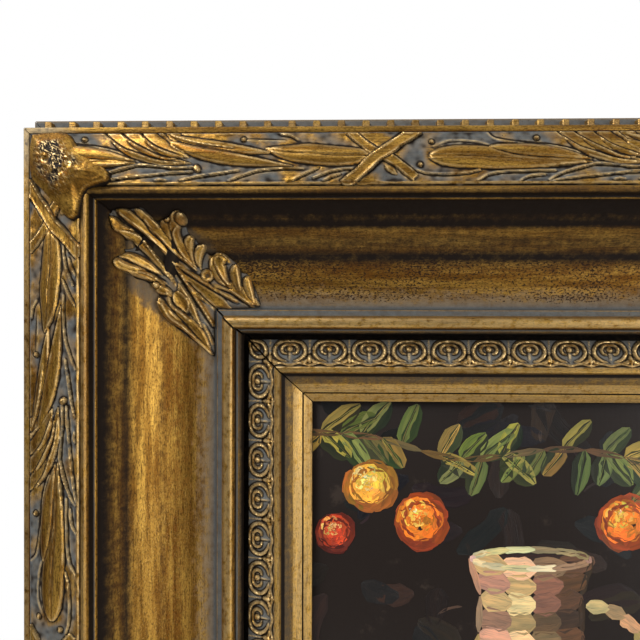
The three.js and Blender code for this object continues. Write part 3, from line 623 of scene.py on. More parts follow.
for side in SIDES:
    bm = bmesh.new()
    # The body of the length, from the outer fillet over the scoop to the lip, and round its back.
    along = mitred(side, section[:, 0], COARSE, 2.0)
    across = np.broadcast_to(section[:, :1], along.shape)
    points = on_side(side, along, across, np.broadcast_to(section[:, 1:2], along.shape))
    gold, dark, red = [np.broadcast_to(section[:, i : i + 1], along.shape) for i in (2, 3, 4)]
    # The wash lies thick round the leaf and the cap, with a little painted shade there, and the arris is worn near its
    # corners.
    s = (side["half"] - np.abs(along) + across) / math.sqrt(2)
    q = np.abs(side["half"] - np.abs(along) - across) / math.sqrt(2)
    halo = np.clip(3.4 - 3 * np.hypot((s - 92) / 40, q / 24), 0, 1) * (across > 40) * (across < 80)
    # Painted shade darkens the bead and the scoop under the rail, heavy on the top side and slight on the bottom.
    dark = dark + side["rail_shade"] * np.interp(across, [26, 26.5, 30.5, 44, 48, 56, 62, 68], [0, 1.2, 1, 0.3, 0.9, 1.1, 0.6, 0])
    # The arris, the bead and the half-round are lightened as rubbed gold and partly as painted highlight; on the top
    # side the painted shade takes it away.
    rubbed_and_highlit = np.interp(across, [0, 2.3, 2.5, 26, 27, 29, 30, 83.2, 84, 88.5, 89], [0.4, 0.35, 0, 0, 0.3, 0.3, 0, 0, 0.45, 0.45, 0])
    rubbed_and_highlit = rubbed_and_highlit * (1 - 2.4 * side["rail_shade"] * (across < 40)).clip(0, 1)
    worn = np.clip(1.6 - (side["half"] - np.abs(along)) / 20, 0, 1) * ((across < 2.8) & (across >= 0))
    gold = np.where(across < 32, gold * (1 - 0.75 * worn), gold * (1 - 0.62 * halo))
    rubbed_and_highlit = np.maximum(rubbed_and_highlit, 0.5 * worn) * (points[..., 1] < -0.03)
    patina = np.stack([gold, np.maximum(dark, 0.25 * halo), rubbed_and_highlit, red * (1 - halo)], axis=-1)
    closed_bar(bm, points, run_of(side, along, across), patina)
    # The carved field, let into the rail.
    across = np.linspace(RAIL["start"], RAIL["end"], round((RAIL["end"] - RAIL["start"]) / side["fine"] * 1.1))
    across = np.concatenate([[RAIL["start"]], across, [RAIL["end"], RAIL["start"]]])
    sunk = np.zeros_like(across)
    sunk[[0, -2, -1]] = 3.0
    along = mitred(side, across, side["fine"])
    across = np.broadcast_to(across[:, None], along.shape)
    place = side["start"] - along
    fields = [garland.read(f, place, across) for f in (garland.gold, garland.crease, garland.edge, garland.red)]
    depth = np.interp(across, *RAIL_GROUND) - garland.read(garland.rise, place, across) + sunk[:, None]
    closed_bar(bm, on_side(side, along, across, depth), run_of(side, along, across), np.stack(fields, axis=-1))
    # Dentils under the back band.
    length = 2 * (side["half"] + BAND_OUT - DENTIL["first"])
    count = round(length / DENTIL["pitch"])
    blocks = bmesh.new()
    run_layer = blocks.verts.layers.float_vector.new("run")
    patina_layer = blocks.verts.layers.float_color.new("patina")
    for i in range(count + 1):
        made = bmesh.ops.create_cube(blocks, size=1.0)["verts"]
        spot = -length / 2 + i * length / count
        for v in made:
            taper = 1.0 if v.co.z > 0 else 0.82
            u = spot + v.co.x * DENTIL["wide"] * taper
            w = DENTIL["outer"] + (v.co.y + 0.5) * (DENTIL["inner"] - DENTIL["outer"])
            t = DENTIL["front"] + (v.co.z + 0.5) * (DENTIL["back"] - DENTIL["front"])
            v[run_layer] = (u * MM + i, w * MM, 0)
            v[patina_layer] = (1, 0, 0.3, 0)
            v.co = on_side(side, np.array(u), np.array(w), np.array(t))
    bmesh.ops.bevel(
        blocks, geom=blocks.edges[:], offset=0.45 * MM, affect="EDGES", segments=1, profile=0.5, material=-1
    )
    bmesh.ops.recalc_face_normals(blocks, faces=blocks.faces)
    dentils = bpy.data.meshes.new("dentils")
    blocks.to_mesh(dentils)
    blocks.free()
    bm.from_mesh(dentils)
    bpy.data.meshes.remove(dentils)
    node_name = f"moulding_{side['name']}"
    finished(f"gold_{node_name}", bm, moulding_finish, "gilded_moulding", node_name)

# ---- Corner caps ----
# A gilt composition cap like a small stretched pelt lies over each corner of the rail, its two tips reaching
# to the bead. Its middle is hatched and worn dark, its tips are bare gold. It is glued and pinned on.
CORNERS = {"top_left": (-1, 1), "top_right": (1, 1), "bottom_right": (1, -1), "bottom_left": (-1, -1)}
BEAD_SPAN, BEAD_DEPTH = (20.0, 30.0), -4.6


def planted(relief, corner, spacing, bridge):
    """A closed piece on a corner: its carved front, cut to its outline, with its rim turned back into the gold."""
    u = np.arange(relief.left, relief.right - spacing, spacing)
    v = np.arange(relief.top, relief.bottom - spacing, spacing)
    u, v = np.meshgrid(u, v)
    a, b = (u + v) / math.sqrt(2), (u - v) / math.sqrt(2)
    across = np.minimum(a, b)
    ground = cove_depth(across)
    if bridge:
        ground = np.where((across > BEAD_SPAN[0]) & (across < BEAD_SPAN[1]), BEAD_DEPTH, ground)
    depth = ground - relief.read(relief.base + relief.rise, u, v)
    right, up = CORNERS[corner]
    x = right * (half_width - a) + centre_x
    z = up * (half_height - b) + centre_z
    points = np.stack([x, depth - FRAME_DEPTH, z], axis=-1) * MM
    fields = [relief.read(f, u, v) for f in (relief.gold, relief.crease, relief.edge, relief.red)]
    bm = bmesh.new()
    bmesh.ops.create_grid(bm, x_segments=u.shape[1] - 1, y_segments=u.shape[0] - 1, size=0.5)
    run_layer = bm.verts.layers.float_vector.new("run")
    patina_layer = bm.verts.layers.float_color.new("patina")
    flat = points.reshape(-1, 3)
    tones = np.stack(fields, axis=-1).reshape(-1, 4)
    laid = np.stack([u * MM + right, v * MM + up, 0 * u], axis=-1).reshape(-1, 3)
    kept = (relief.read(relief.cover, u, v) > 0.02).ravel()
    for i, vertex in enumerate(bm.verts):
        vertex.co = flat[i]
        vertex[run_layer] = laid[i]
        vertex[patina_layer] = tones[i]
    outside = [f for f in bm.faces if not any(kept[v.index] for v in f.verts)]
    bmesh.ops.delete(bm, geom=outside, context="FACES")
    rim = [e for e in bm.edges if e.is_boundary]
    skirt = bmesh.ops.extrude_edge_only(bm, edges=rim)["geom"]
    for vertex in [g for g in skirt if isinstance(g, bmesh.types.BMVert)]:
        vertex.co.y += 2.5 * MM
    bmesh.ops.holes_fill(bm, edges=[e for e in bm.edges if e.is_boundary], sides=0)
    bmesh.ops.recalc_face_normals(bm, faces=bm.faces)
    return bm


cap = Relief(3, 62, -24, 24)
CAP_OUTLINE = [
    (4.4, 3.2), (12, 2.6), (20.5, 3.2), (24.3, 7.6), (30.8, 13.6), (36.2, 17.6), (40.3, 21.8), (39.8, 25.2),
    (35, 26.8), (30.2, 28.9), (28.4, 33), (27.6, 36.4), (26.2, 40.5), (23.4, 41.6), (19, 38.2), (15.4, 34.8),
    (8.6, 27.6), (4, 22.4), (3, 12),
]
inside = cap.outline([((a + b) / math.sqrt(2), (a - b) / math.sqrt(2)) for a, b in CAP_OUTLINE])
cap.cover = np.clip(inside / 0.5 + 0.7, 0, 1)
swell = np.clip(inside / 11, 0, 1)
cap.base = cap.cover * (2.6 + 3.4 * np.sin(np.pi / 2 * swell) ** 1.2) - 2.6 * (1 - np.clip(inside / 1.4 + 0.6, 0, 1))
pelt = np.random.default_rng(11)
hatched = np.clip((inside - 2.4) / 3.5, 0, 1) * np.clip((38 - cap.u) / 9, 0, 1)
worn = soften(pelt.normal(size=cap.u.shape), 5)
worn = np.clip(0.55 + worn / worn.std() * 0.4, 0, 1)
cap.rise = 0.8 * soften(pelt.normal(size=cap.u.shape), 4) + hatched * 0.9 * soften(pelt.normal(size=cap.u.shape), 1.3)
# The two tips are drawn out in folds.
cap.ridge([(37, 2), (42, 6), (44.5, 10.5)], 1.2, 0.5)
cap.ridge([(37, -2), (42, -6), (45, -9.5)], 1.2, 0.5)
cap.ridge([(20, 12.5), (28, 12.2), (36, 12.6), (43.6, 12.8)], 0.5, 0.4, lean=-1)
cap.finish(0.9)
cap.crease = np.maximum(cap.crease, hatched * (0.15 + 0.7 * worn))
# Painted shadow darkens the cap's outline, and painted highlight brightens a band just inside it, over the rubbed
# hatching.
cap.crease = np.maximum(cap.crease, np.clip(0.9 - inside / 0.6, 0, 1))
cap.edge = np.maximum(0.3 * cap.edge, hatched) + np.clip(1 - np.abs(inside - 0.9) / 0.5, 0, 1) * 0.4
cap.red = hatched * 0.8
cap.gold = np.ones_like(cap.u)
cap_finish = gilding("hatched gilt composition", GOLD_LIGHT, GOLD_SHADOW, (500, 500), (90, 90), hatch=True)
for corner in CORNERS:
    bm = planted(cap, corner, 0.55, bridge=True)
    finished(f"gold_cap_{corner}", bm, cap_finish, "gilded_ornament", f"corner_cap_{corner}")

# ---- Acanthus leaves ----
# A scrolled acanthus leaf of gilt composition lies along the mitre in each corner of the scoop. Its stems
# are rubbed bright and carry painted highlight, its hollows are washed grey, its outline is edged with painted
# shadow, and it is parted along the mitre crack at its inner end.
leaf = Relief(46, 133, -26, 26)
LEAF_OUTLINE = [
    (50.8, 1.2), (53.9, 4.7), (57, 8), (59.5, 11.2), (63, 12), (66.5, 11), (68.4, 13), (70.6, 16.5), (70.6, 19.5),
    (73, 22.8), (76.5, 22.6), (79, 19), (81.4, 17.6), (84.4, 18), (86.6, 17.4), (89.2, 19.2), (92, 17), (94.6, 17.6),
    (95.6, 20.8), (99, 22.6), (102.2, 23), (105.6, 23.2), (109.5, 22), (112.6, 23.3), (116.9, 22), (121.6, 20),
    (127.5, 16.6), (125.3, 13), (121, 8), (117, 3.6), (112.8, 0), (116.3, -4), (121, -9), (125.7, -13.3),
    (128.9, -17.6), (119.4, -18.6), (112.9, -19.5), (105.7, -20), (97.7, -19.7), (92.5, -17.8), (90, -14.4),
    (85.4, -13), (81.2, -13.6), (77.7, -15.4), (75, -15), (71.6, -16.5), (68, -16.2), (66.2, -13.2), (66.8, -9.6),
    (64.5, -8.4), (62.6, -5.6), (60.7, -4.6), (57.7, -5.6), (54.4, -3.6), (51.2, -1.4),
]
inside = leaf.outline(LEAF_OUTLINE)
for hole in ([(62, -6.6), (65, -3.6), (67.2, -5.6), (64.6, -9)],):
    inside = np.minimum(inside, -leaf.outline(hole))
leaf.cover = np.clip(inside / 0.5 + 0.7, 0, 1)
leaf.base = leaf.cover * (1.0 + 2.3 * (1 - np.exp(-np.clip(inside, 0, 20) / 3.0))) - 2.2 * (
    1 - np.clip(inside / 1.2 + 0.6, 0, 1)
)
grain = np.random.default_rng(6).normal(size=leaf.u.shape)
leaf.rise += 1.1 * soften(grain, 7)
LOBES = [
    # line, half width, height, widest at, bluntness of its start and end, rib
    ([(108, 13.5), (117, 14.5), (127, 16.4)], 3.4, 0.9, 0.5, 0.7, 0.8, 0.0),
    ([(100, -13), (110, -14.2), (119, -15.4), (128.5, -17.4)], 3.6, 1.0, 0.45, 0.7, 1.0, 0.0),
    ([(86, 1), (98, 2.4), (109, 3), (118.5, 5.5)], 4.3, 0.8, 0.55, 0.7, 0.9, 0.0),
    ([(82.5, 18), (83.4, 14.4), (87, 10.5), (93.5, 7.6)], 2.3, 1.3, 0.3, 0.4, 1.0, 0.25),
    ([(89.2, 19), (89.4, 15), (91.6, 11.4), (95.5, 8.8)], 2.2, 1.5, 0.3, 0.4, 1.0, 0.25),
    ([(72.5, 22.6), (74, 16), (77, 12), (84, 9.4), (92, 7.4)], 3.2, 1.4, 0.3, 0.5, 1.0, 0.0),
    ([(69.5, 16.5), (71, 13), (75, 10.5), (81, 8.8)], 2.0, 1.2, 0.3, 0.4, 1.0, 0.0),
    ([(58.4, 9), (64.4, 9), (73, 7.6), (83, 6.4), (92.5, 6.9)], 2.5, 1.3, 0.3, 0.5, 1.0, 0.0),
    ([(100, 22.4), (98.6, 18), (101, 15), (105.5, 13.2), (112, 12.6)], 4.0, 1.5, 0.35, 0.5, 1.0, 0.0),
    ([(105.8, 23), (107.6, 19.6), (112, 16.4), (118, 13.6)], 2.3, 1.4, 0.3, 0.4, 1.0, 0.2),
    ([(113.4, 23), (115.4, 20), (120, 17.4), (125.5, 15)], 2.1, 1.4, 0.3, 0.4, 1.0, 0.2),
    ([(52, 3), (57, 4.2), (64.8, 4.6), (74, 4.6), (84, 3.4)], 2.6, 1.5, 0.25, 0.4, 1.0, 0.0),
    ([(52.4, -1.6), (58, -2.6), (64, -1.6), (74, -2), (90, -5)], 2.6, 1.4, 0.2, 0.4, 1.0, 0.0),
    ([(67, -12), (69.6, -9.2), (76, -7.2), (85, -5.8)], 2.2, 1.2, 0.4, 0.5, 1.0, 0.2),
    ([(66.8, -14), (71.5, -14.4), (77, -12), (84, -9.6), (90, -8.4)], 2.7, 1.9, 0.25, 0.4, 0.9, 0.3),
    ([(84, -12.6), (88, -11.6), (92, -10), (95, -10.4)], 2.3, 1.7, 0.4, 0.5, 0.7, 0.0),
    ([(90, -14.6), (95, -16.6), (101, -17.6), (109, -16.8), (118, -16.8)], 2.4, 2.0, 0.3, 0.5, 1.0, 0.0),
    ([(92, -3.4), (97, -5.4), (104, -7.4), (110, -9.6), (116, -11.4)], 2.0, 1.2, 0.35, 0.5, 1.0, 0.0),
]
for line, wide, high, peak, start, end, rib in LOBES:
    leaf.leaf(line, wide, high, peak, start, end, rib=rib)
# Bright stems and veins.
STEMS = [
    ([(55, 2.4), (59.7, 2.9), (64.8, 3.6), (71.8, 3.5), (79.9, 2.7), (93.2, -0.4), (101.5, -2.4), (118, -6.4)], 0.8, 2.0),
    ([(60.4, -2.5), (64.2, -0.2), (69.8, 0.1), (76.7, -1.3), (84.6, -2.6), (92, -5)], 0.65, 1.2),
    ([(64.4, 8.2), (68.6, 6.8), (73.8, 6.8), (81.2, 6.1), (85.9, 6.7), (92.5, 6.8)], 0.6, 1.1),
    ([(84, 2.4), (94.8, 4.3), (103.1, 6.1), (111.9, 8.2), (118, 10)], 0.75, 1.3),
    ([(105.4, 8.1), (112.3, 11.4), (118.2, 12.9), (125.3, 13.6)], 0.6, 1.0),
    ([(98.3, 16.2), (104.5, 13.8), (110.9, 12.9)], 0.6, 1.0),
    ([(76, 15), (77, 12), (81.5, 9.1), (88, 7.4), (93.6, 7.2)], 0.6, 1.0),
    ([(97.4, 13.9), (94.9, 17), (95.8, 20.7), (99.3, 22.1), (102.4, 21)], 0.6, 0.9),
    ([(76.4, -12.4), (79.9, -10), (84, -8.6), (88.4, -7.7)], 0.6, 0.9),
    ([(92.3, -10.4), (97.4, -13.4), (103, -12.9), (108.4, -12.7)], 0.7, 1.0),
    ([(94.1, -16), (101.1, -17.8), (108.5, -17), (113.5, -17.2), (127, -17.4)], 0.8, 0.9),
    ([(114.5, -9.5), (120.1, -11.5), (124.2, -13.3)], 0.6, 0.9),
]
for line, wide, high in STEMS:
    leaf.ridge(line, wide, high, lean=-1 if line[0][1] > 0 else 1)
for u, v, radius, high in [(75.2, 20.2, 2.7, 2.4), (70.6, 15.6, 1.5, 1.6), (99.4, 8.9, 3.0, 1.2), (86, -11.4, 1.8, 2.2)]:
    leaf.dome(u, v, radius, high, cup=0.75 if radius == 3.0 else 0.0)
leaf.leaf([(94, -7.4), (98, -8.6), (101.5, -9.2), (105, -11)], 3.0, 1.9, 0.45, 0.5, 0.8, cup=0.85)
# The mitre crack.
crack = np.clip(1 - np.abs(leaf.v + 0.12 * np.sin(leaf.u * 0.9)) / 0.5, 0, 1) * np.clip((leaf.u - 94) / 1.5, 0, 1)
leaf.rise -= 2.6 * crack
leaf.finish(1.1)
# Painted shadow darkens the leaf's outline where it sits on the scoop.
leaf.crease = np.maximum(leaf.crease, np.clip(0.75 - inside / 0.9, 0, 1))
leaf.crease = np.maximum(leaf.crease, crack)
leaf.gold = np.clip(0.2 + leaf.rise / 1.1, 0, 1)
ornament_finish = gilding("gilt composition", GOLD_LIGHT, GOLD_SHADOW, (500, 500), (90, 90))
for corner in CORNERS:
    bm = planted(leaf, corner, 0.5, bridge=False)
    finished(f"gold_leaf_{corner}", bm, ornament_finish, "gilded_ornament", f"acanthus_leaf_{corner}")

# ---- Slip ----
# Four mitred lengths between the moulding and the picture, dry in the moulding's rebate. A chain of open
# rings with pearls runs in composition along their outer part, and a plain gold slope falls to the sight.
RING = {"centre": 102.2, "pitch": 19.77, "first": 13.8}
chain = Relief(-RING["pitch"] / 2, RING["pitch"] / 2, 94.9, 109.4, repeats=True)
chain.rise += 0.5 * soften(np.random.default_rng(8).normal(size=chain.u.shape), 4)
chain.gold += 0.12
chain.dark += 0.12
half = RING["pitch"] / 2
pit = np.exp(-((half - np.abs(chain.u)) ** 2) / 2.6 - (chain.v - 103.2) ** 2 / 1.3)
chain.rise -= 1.2 * pit
# A wavy edge with tulip buds under the rings.
wavy = 107.0 + 0.45 * np.cos(4 * np.pi * chain.u / RING["pitch"])
chain.rise += 1.0 * np.exp(-(((chain.v - wavy) / 0.55) ** 2)) - 0.8 * np.exp(-(((chain.v - wavy - 1.05) / 0.36) ** 2))
chain.gold = np.maximum(chain.gold, 0.75 * np.exp(-(((chain.v - wavy) / 0.7) ** 2)))
SOFT = {"start": 0.22, "end": 0.35, "gold": 0.5}
for side_u in (-1, 1):
    chain.leaf([(side_u * half, 104.4), (side_u * (half - 2.2), 106), (side_u * (half - 4.6), 105.4)], 0.75, 1.1, 0.4, 0.4, 0.9)
    chain.leaf([(side_u * half, 102.6), (side_u * half, 104.4), (side_u * half, 106.8)], 1.0, 1.4, 0.6, 0.7, 0.5)
for side_u in (-1, 1):
    ring = [(1.7, 105.7), (4.4, 105.1), (7.0, 103.0), (7.7, 100.4), (6.2, 97.3), (3.2, 96.0), (0, 95.7)]
    chain.leaf([(side_u * u, v) for u, v in ring], 0.78, 1.25, 0.5, 0.35, 0.05, gold=0.5)
    eye = [(1.3, 102.2), (3.3, 101.6), (4.0, 99.8), (2.9, 98), (0, 97.4)]
    chain.leaf([(side_u * u, v) for u, v in eye], 0.62, 1.35, 0.5, 0.35, 0.05, gold=0.6)
chain.ridge([(0, 101.2), (0, 103), (0, 105.2)], 0.5, 0.6, lean=1)
chain.dome(0, 99.8, 1.35, 1.1)
flat = np.clip((chain.v - 108.3) / 0.4, 0, 1)
chain.rise = chain.rise * (1 - flat) + 0.25 * flat
chain.finish(0.9)
# Painted shade and dark paint deepen the pits between the rings.
chain.crease = np.maximum(chain.crease, 0.9 * pit)
chain.gold = np.clip(chain.gold + 0.3 * (chain.rise - 0.9), 0, 1) * (1 - flat) + flat
# Across the slip, with its gold, its dark paint and painted shade in grooves and at the sight, and how brightly it is
# rubbed, partly painted highlight on its slopes.
SLIP_FACE = [(109.0, 33.1, 1, 0, 0.2), (110.9, 33.5, 1, 0, 0.35), (111.5, 34.1, 1, 0.1, 0.2), (112.0, 35.8, 0.3, 0.9, 0)]
SLIP_FACE += [(113.3, 36.6, 0.3, 0.9, 0), (113.6, 36.6, 0.4, 0.45, 0), (117.3, 38.8, 0.55, 0.4, 0)]
SLIP_FACE += [(117.7, 38.9, 1, 0, 0.3), (121.9, 41.3, 1, 0, 0.4), (122.0, 42.0, 0.3, 0.9, 0), (122.5, 42.3, 0.3, 0.9, 0)]
SLIP_FACE += [(122.7, 41.6, 1, 0, 0.3), (126.3, 43.7, 1, 0, 0.3), (126.8, 44.1, 1, 0, 0.4), (127, 44.7, 0.9, 0.2, 0)]
SLIP_FACE += [(127, 47.3, 0.2, 1, 0)]
SLIP_BACK = [(117.5, 47.3), (117.5, 68), (86.5, 68), (86.5, 40), (92, 40), (92, 47), (95.3, 47), (95.3, 39.4)]
slip_section = SLIP_FACE + [(w, t, 0.4, 0.7, 0) for w, t in SLIP_BACK] + [(109, 35.4, 1, 0, 0)]
slip_section = np.array(slip_section + slip_section[:1])
slip_finish = gilding("worn slip gold", GOLD_LIGHT, (0.32, 0.17, 0.035, 1), (90, 1100), (14, 300))
for side in SIDES:
    bm = bmesh.new()
    along = mitred(side, slip_section[:, 0], 2 * COARSE)
    across = np.broadcast_to(slip_section[:, :1], along.shape)
    points = on_side(side, along, across, np.broadcast_to(slip_section[:, 1:2], along.shape))
    tones = [np.broadcast_to(slip_section[:, i : i + 1], along.shape) for i in (2, 3, 4)]
    closed_bar(bm, points, run_of(side, along, across), np.stack([*tones, 0 * along], axis=-1))
    span = 2 * (side["half"] - RING["centre"] - RING["first"])
    pitch = span / round(span / RING["pitch"])
    across = np.linspace(95.3, 109.1, round(14 / side["fine"] * 1.1))
    across = np.concatenate([[95.3], across, [109.1, 95.3]])
    sunk = np.zeros_like(across)
    sunk[[0, -2, -1]] = 2.5
    along = mitred(side, across, side["fine"] * 1.5)
    across = np.broadcast_to(across[:, None], along.shape)
    place = (along + span / 2) * RING["pitch"] / pitch
    fields = [chain.read(f, place, across) for f in (chain.gold, chain.crease, chain.edge, chain.red)]
    ground = np.interp(across, [95.3, 109.2], [37.6, 33.5])
    depth = ground - chain.read(chain.rise, place, across) + sunk[:, None]
    closed_bar(bm, on_side(side, along, across, depth), run_of(side, along, across), np.stack(fields, axis=-1))
    node_name = f"slip_{side['name']}"
    finished(f"gold_{node_name}", bm, slip_finish, "gilded_slip", node_name)

# ---- Canvas ----
# Fine linen over the stretcher, turned down over its edges, tacked and left raw behind. In front it carries
# a dark still life in thick oils: a bough of ripe fruit over an earthen jug, lemons on a cloth below.
canvas_low, canvas_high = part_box("canvas")
CLOTH = 1.3 * MM
bm = bmesh.new()
made = bmesh.ops.create_cube(bm, size=1.0)["verts"]
size = canvas_high - canvas_low
bmesh.ops.scale(bm, verts=made, vec=size)
bmesh.ops.translate(bm, verts=made, vec=(canvas_low + canvas_high) / 2)
back = [f for f in bm.faces if f.normal.y > 0.9]
bmesh.ops.inset_region(bm, faces=back, thickness=CLOTH, depth=0)
well = bmesh.ops.extrude_face_region(bm, geom=back)["geom"]
well = [g for g in well if isinstance(g, bmesh.types.BMVert)]
bmesh.ops.translate(bm, verts=well, vec=(0, CLOTH - size.y, 0))
bmesh.ops.delete(bm, geom=back, context="FACES")
bmesh.ops.recalc_face_normals(bm, faces=bm.faces)
corners = [e for e in bm.edges if e.calc_face_angle(0) > 1 and all(v.co.y < canvas_high.y for v in e.verts)]
bmesh.ops.bevel(bm, geom=corners, offset=0.4 * MM, affect="EDGES", segments=2, profile=0.5, material=-1)

# Places in the picture: across from its left sight edge and down from its top one, in thousandths.
RAIL_TO_SIGHT = 127.0
SIGHT_WIDTH = 2 * (half_width - RAIL_TO_SIGHT)
SIGHT_HEIGHT = 2 * (half_height - RAIL_TO_SIGHT)
hand = np.random.default_rng(21)
strokes = []


def stroke(start, middle, end, wide, thick, colour, vary=0.25):
    """A loaded brush's mark from start to end, bent by middle."""
    lighter = 1 + vary * hand.normal()
    shift = 1 + 0.12 * hand.normal(size=3)
    strokes.append((start, middle, end, wide, thick, np.clip(np.array(colour) * lighter * shift, 0.001, 0.95)))


def scumble(left, right, top, bottom, count, colours, long, wide, thick=0.05):
    for _ in range(count):
        x, y = hand.uniform(left, right), hand.uniform(top, bottom)
        turn = hand.uniform(0, np.pi)
        reach = long * hand.uniform(0.5, 1.1)
        dx, dy = reach * math.cos(turn), reach * math.sin(turn)
        bow = hand.uniform(-0.3, 0.3)
        colour = colours[hand.integers(len(colours))]
        stroke((x, y), (x + dx / 2 - bow * dy, y + dy / 2 + bow * dx), (x + dx, y + dy), wide, thick, colour)


def fruit(x, y, radius, light, body, shade, lit=-2.2):
    """A round fruit in curved strokes, dark ones first and the light last."""
    layers = [(shade, 0.84, 0, 11), (body, 0.6, 0.1, 9), (body, 0.3, 0.1, 6), (body, 0.05, 0.1, 1)]
    layers += [(light, 0.3, 0.36, 6), (light, 0.05, 0.4, 1), ((0.85, 0.74, 0.5), 0.04, 0.5, 1)]
    for tone, ring, drift, count in layers:
        cx, cy = x + drift * radius * math.cos(lit), y + drift * radius * math.sin(lit)
        swing = 0.55 if count > 1 else 1.57
        for k in range(count):
            turn = hand.uniform(-0.2, 0.2) + k / count * 2 * np.pi
            reach = radius * ring * hand.uniform(0.88, 1.1)
            arc = [(cx + reach * math.cos(turn + s * swing), cy + reach * math.sin(turn + s * swing)) for s in (-1, 0, 1)]
            stroke(*arc, radius * (0.2 if count > 1 else 0.12), 0.14, tone, 0.18)


def spray(x, y, turn, long, wide, light, shade):
    """A leaf in three strokes: its two halves and its rib."""
    dx, dy = math.cos(turn), math.sin(turn)
    for offset, tone, share in ((0.42, shade, 0.34), (-0.42, light, 0.34), (0.05, light, 0.1)):
        mx, my = x + dx * long / 2 - dy * wide * offset, y + dy * long / 2 + dx * wide * offset
        stroke((x, y), (mx, my), (x + dx * long, y + dy * long), wide * share, 0.12, tone)


NIGHT = [(0.010, 0.007, 0.006), (0.016, 0.009, 0.006), (0.008, 0.008, 0.008), (0.022, 0.013, 0.009)]
scumble(-4, SIGHT_WIDTH, -4, SIGHT_HEIGHT * 0.72, 200, NIGHT, 38, 5.5)
scumble(-4, SIGHT_WIDTH, -4, SIGHT_HEIGHT * 0.6, 60, [(0.05, 0.034, 0.022), (0.03, 0.024, 0.022)], 12, 0.7)
# The cloth, falling in pale folds over the table's edge.
TABLE_TOP = SIGHT_HEIGHT * 0.74
CLOTH_TONES = [(0.3, 0.24, 0.15), (0.5, 0.41, 0.26), (0.16, 0.115, 0.07), (0.22, 0.19, 0.13)]
for row in range(9):
    for column in range(22):
        x, y = -8 + 23 * column + hand.uniform(-5, 5), TABLE_TOP + 11 * row + hand.uniform(-4, 4)
        fall = 0.08 if row < 3 else 1.0
        tone = CLOTH_TONES[int(2 + 1.99 * math.sin(x / 19 + 0.9 * fall * row))]
        stroke((x, y), (x + 12, y + 7 * fall), (x + 27 - 14 * fall, y + 20 * fall), 5.5, 0.12, tone, 0.12)
# The jug, its light from the left.
JUG = {"x": 112.0, "foot": SIGHT_HEIGHT * 0.8, "height": 232.0, "belly": 60.0}

def jug_reach(up):
    return JUG["belly"] * np.interp(up, [0, 0.1, 0.35, 0.6, 0.8, 0.93, 1], [0.5, 0.72, 1, 0.85, 0.46, 0.44, 0.54])


for up in np.linspace(0.0, 1, 25):
    reach, y = jug_reach(up), JUG["foot"] - up * JUG["height"]
    for share in (-0.66, 0.7, -0.2, 0.28):
        lit = max(0.0, 1 - abs(share + 0.36) * 1.2)
        base = np.array((0.1, 0.055, 0.03)) + lit**1.2 * np.array((0.66, 0.5, 0.27))
        base = base * (0.6 if 0.84 < up < 0.9 else 1) * hand.uniform(0.85, 1.1)
        a, b, c = (JUG["x"] + reach * s for s in (share - 0.3, share, share + 0.3))
        drop = [0.16 * reach * (1 - ((s - JUG["x"]) / reach) ** 2) for s in (a, b, c)]
        stroke((a, y + drop[0]), (b, y + drop[1]), (c, y + drop[2]), 5.6, 0.14, base, 0.08)
for share, tone in ((-0.97, (0.3, 0.2, 0.11)), (0.97, (0.03, 0.017, 0.01))):
    for low, high in zip(np.linspace(0, 0.92, 12), np.linspace(0.08, 1, 12)):
        a, b, c = [(JUG["x"] + share * jug_reach(u), JUG["foot"] - u * JUG["height"]) for u in (low, (low + high) / 2, high)]
        stroke(a, b, c, 1.6, 0.16, tone, 0.1)
for k in range(14):
    turn = k / 14 * 2 * np.pi
    mouth = [(JUG["x"] + 30 * math.cos(turn + s), JUG["foot"] - JUG["height"] + 5 * math.sin(turn + s)) for s in (-0.3, 0, 0.3)]
    stroke(*mouth, 1.7, 0.2, (0.7, 0.58, 0.34) if 1 < turn < 4.6 else (0.32, 0.22, 0.12), 0.1)
for y in (-2.4, 0, 2.4):
    y = y + JUG["foot"] - JUG["height"]
    stroke((JUG["x"] - 25, y), (JUG["x"], y), (JUG["x"] + 25, y), 2.2, 0.1, (0.02, 0.013, 0.009), 0.05)
for turn in np.linspace(-1.5, 1.5, 11):
    x, y = JUG["x"] + 32 + 30 * math.cos(turn), JUG["foot"] - 168 + 40 * math.sin(turn)
    along = (-6 * math.sin(turn), 6 * math.cos(turn))
    stroke((x - along[0], y - along[1]), (x, y), (x + along[0], y + along[1]), 3.4, 0.16, (0.42, 0.28, 0.13), 0.15)
# The bough from the upper left, with its leaves and fruit.
BOUGH = [(-6, 16), (34, 19), (76, 30), (130, 24), (176, 34), (216, 60), (262, 92), (318, 104)]
bough = path_of(BOUGH, 34)
for a, b, c in zip(bough[::2], bough[1::2], bough[2::2]):
    stroke(tuple(a), tuple(b), tuple(c), 1.7, 0.14, (0.13, 0.075, 0.035))
LEAF_GREEN, LEAF_SHADE = (0.13, 0.15, 0.045), (0.025, 0.035, 0.014)
for k, (x, y) in enumerate(bough[1:]):
    for turn in (0.9, -0.8, 2.1):
        if hand.uniform() < 0.6:
            tone = LEAF_GREEN if k % 3 else (0.34, 0.27, 0.06)
            spray(x, y, turn + hand.uniform(-0.5, 0.5), hand.uniform(16, 25), hand.uniform(8, 11), tone, LEAF_SHADE)
ORANGE = ((0.83, 0.5, 0.08), (0.72, 0.2, 0.02), (0.24, 0.045, 0.012))
GOLDEN = ((0.86, 0.68, 0.2), (0.74, 0.42, 0.05), (0.28, 0.11, 0.02))
RUSSET = ((0.8, 0.42, 0.12), (0.5, 0.06, 0.02), (0.13, 0.018, 0.01))
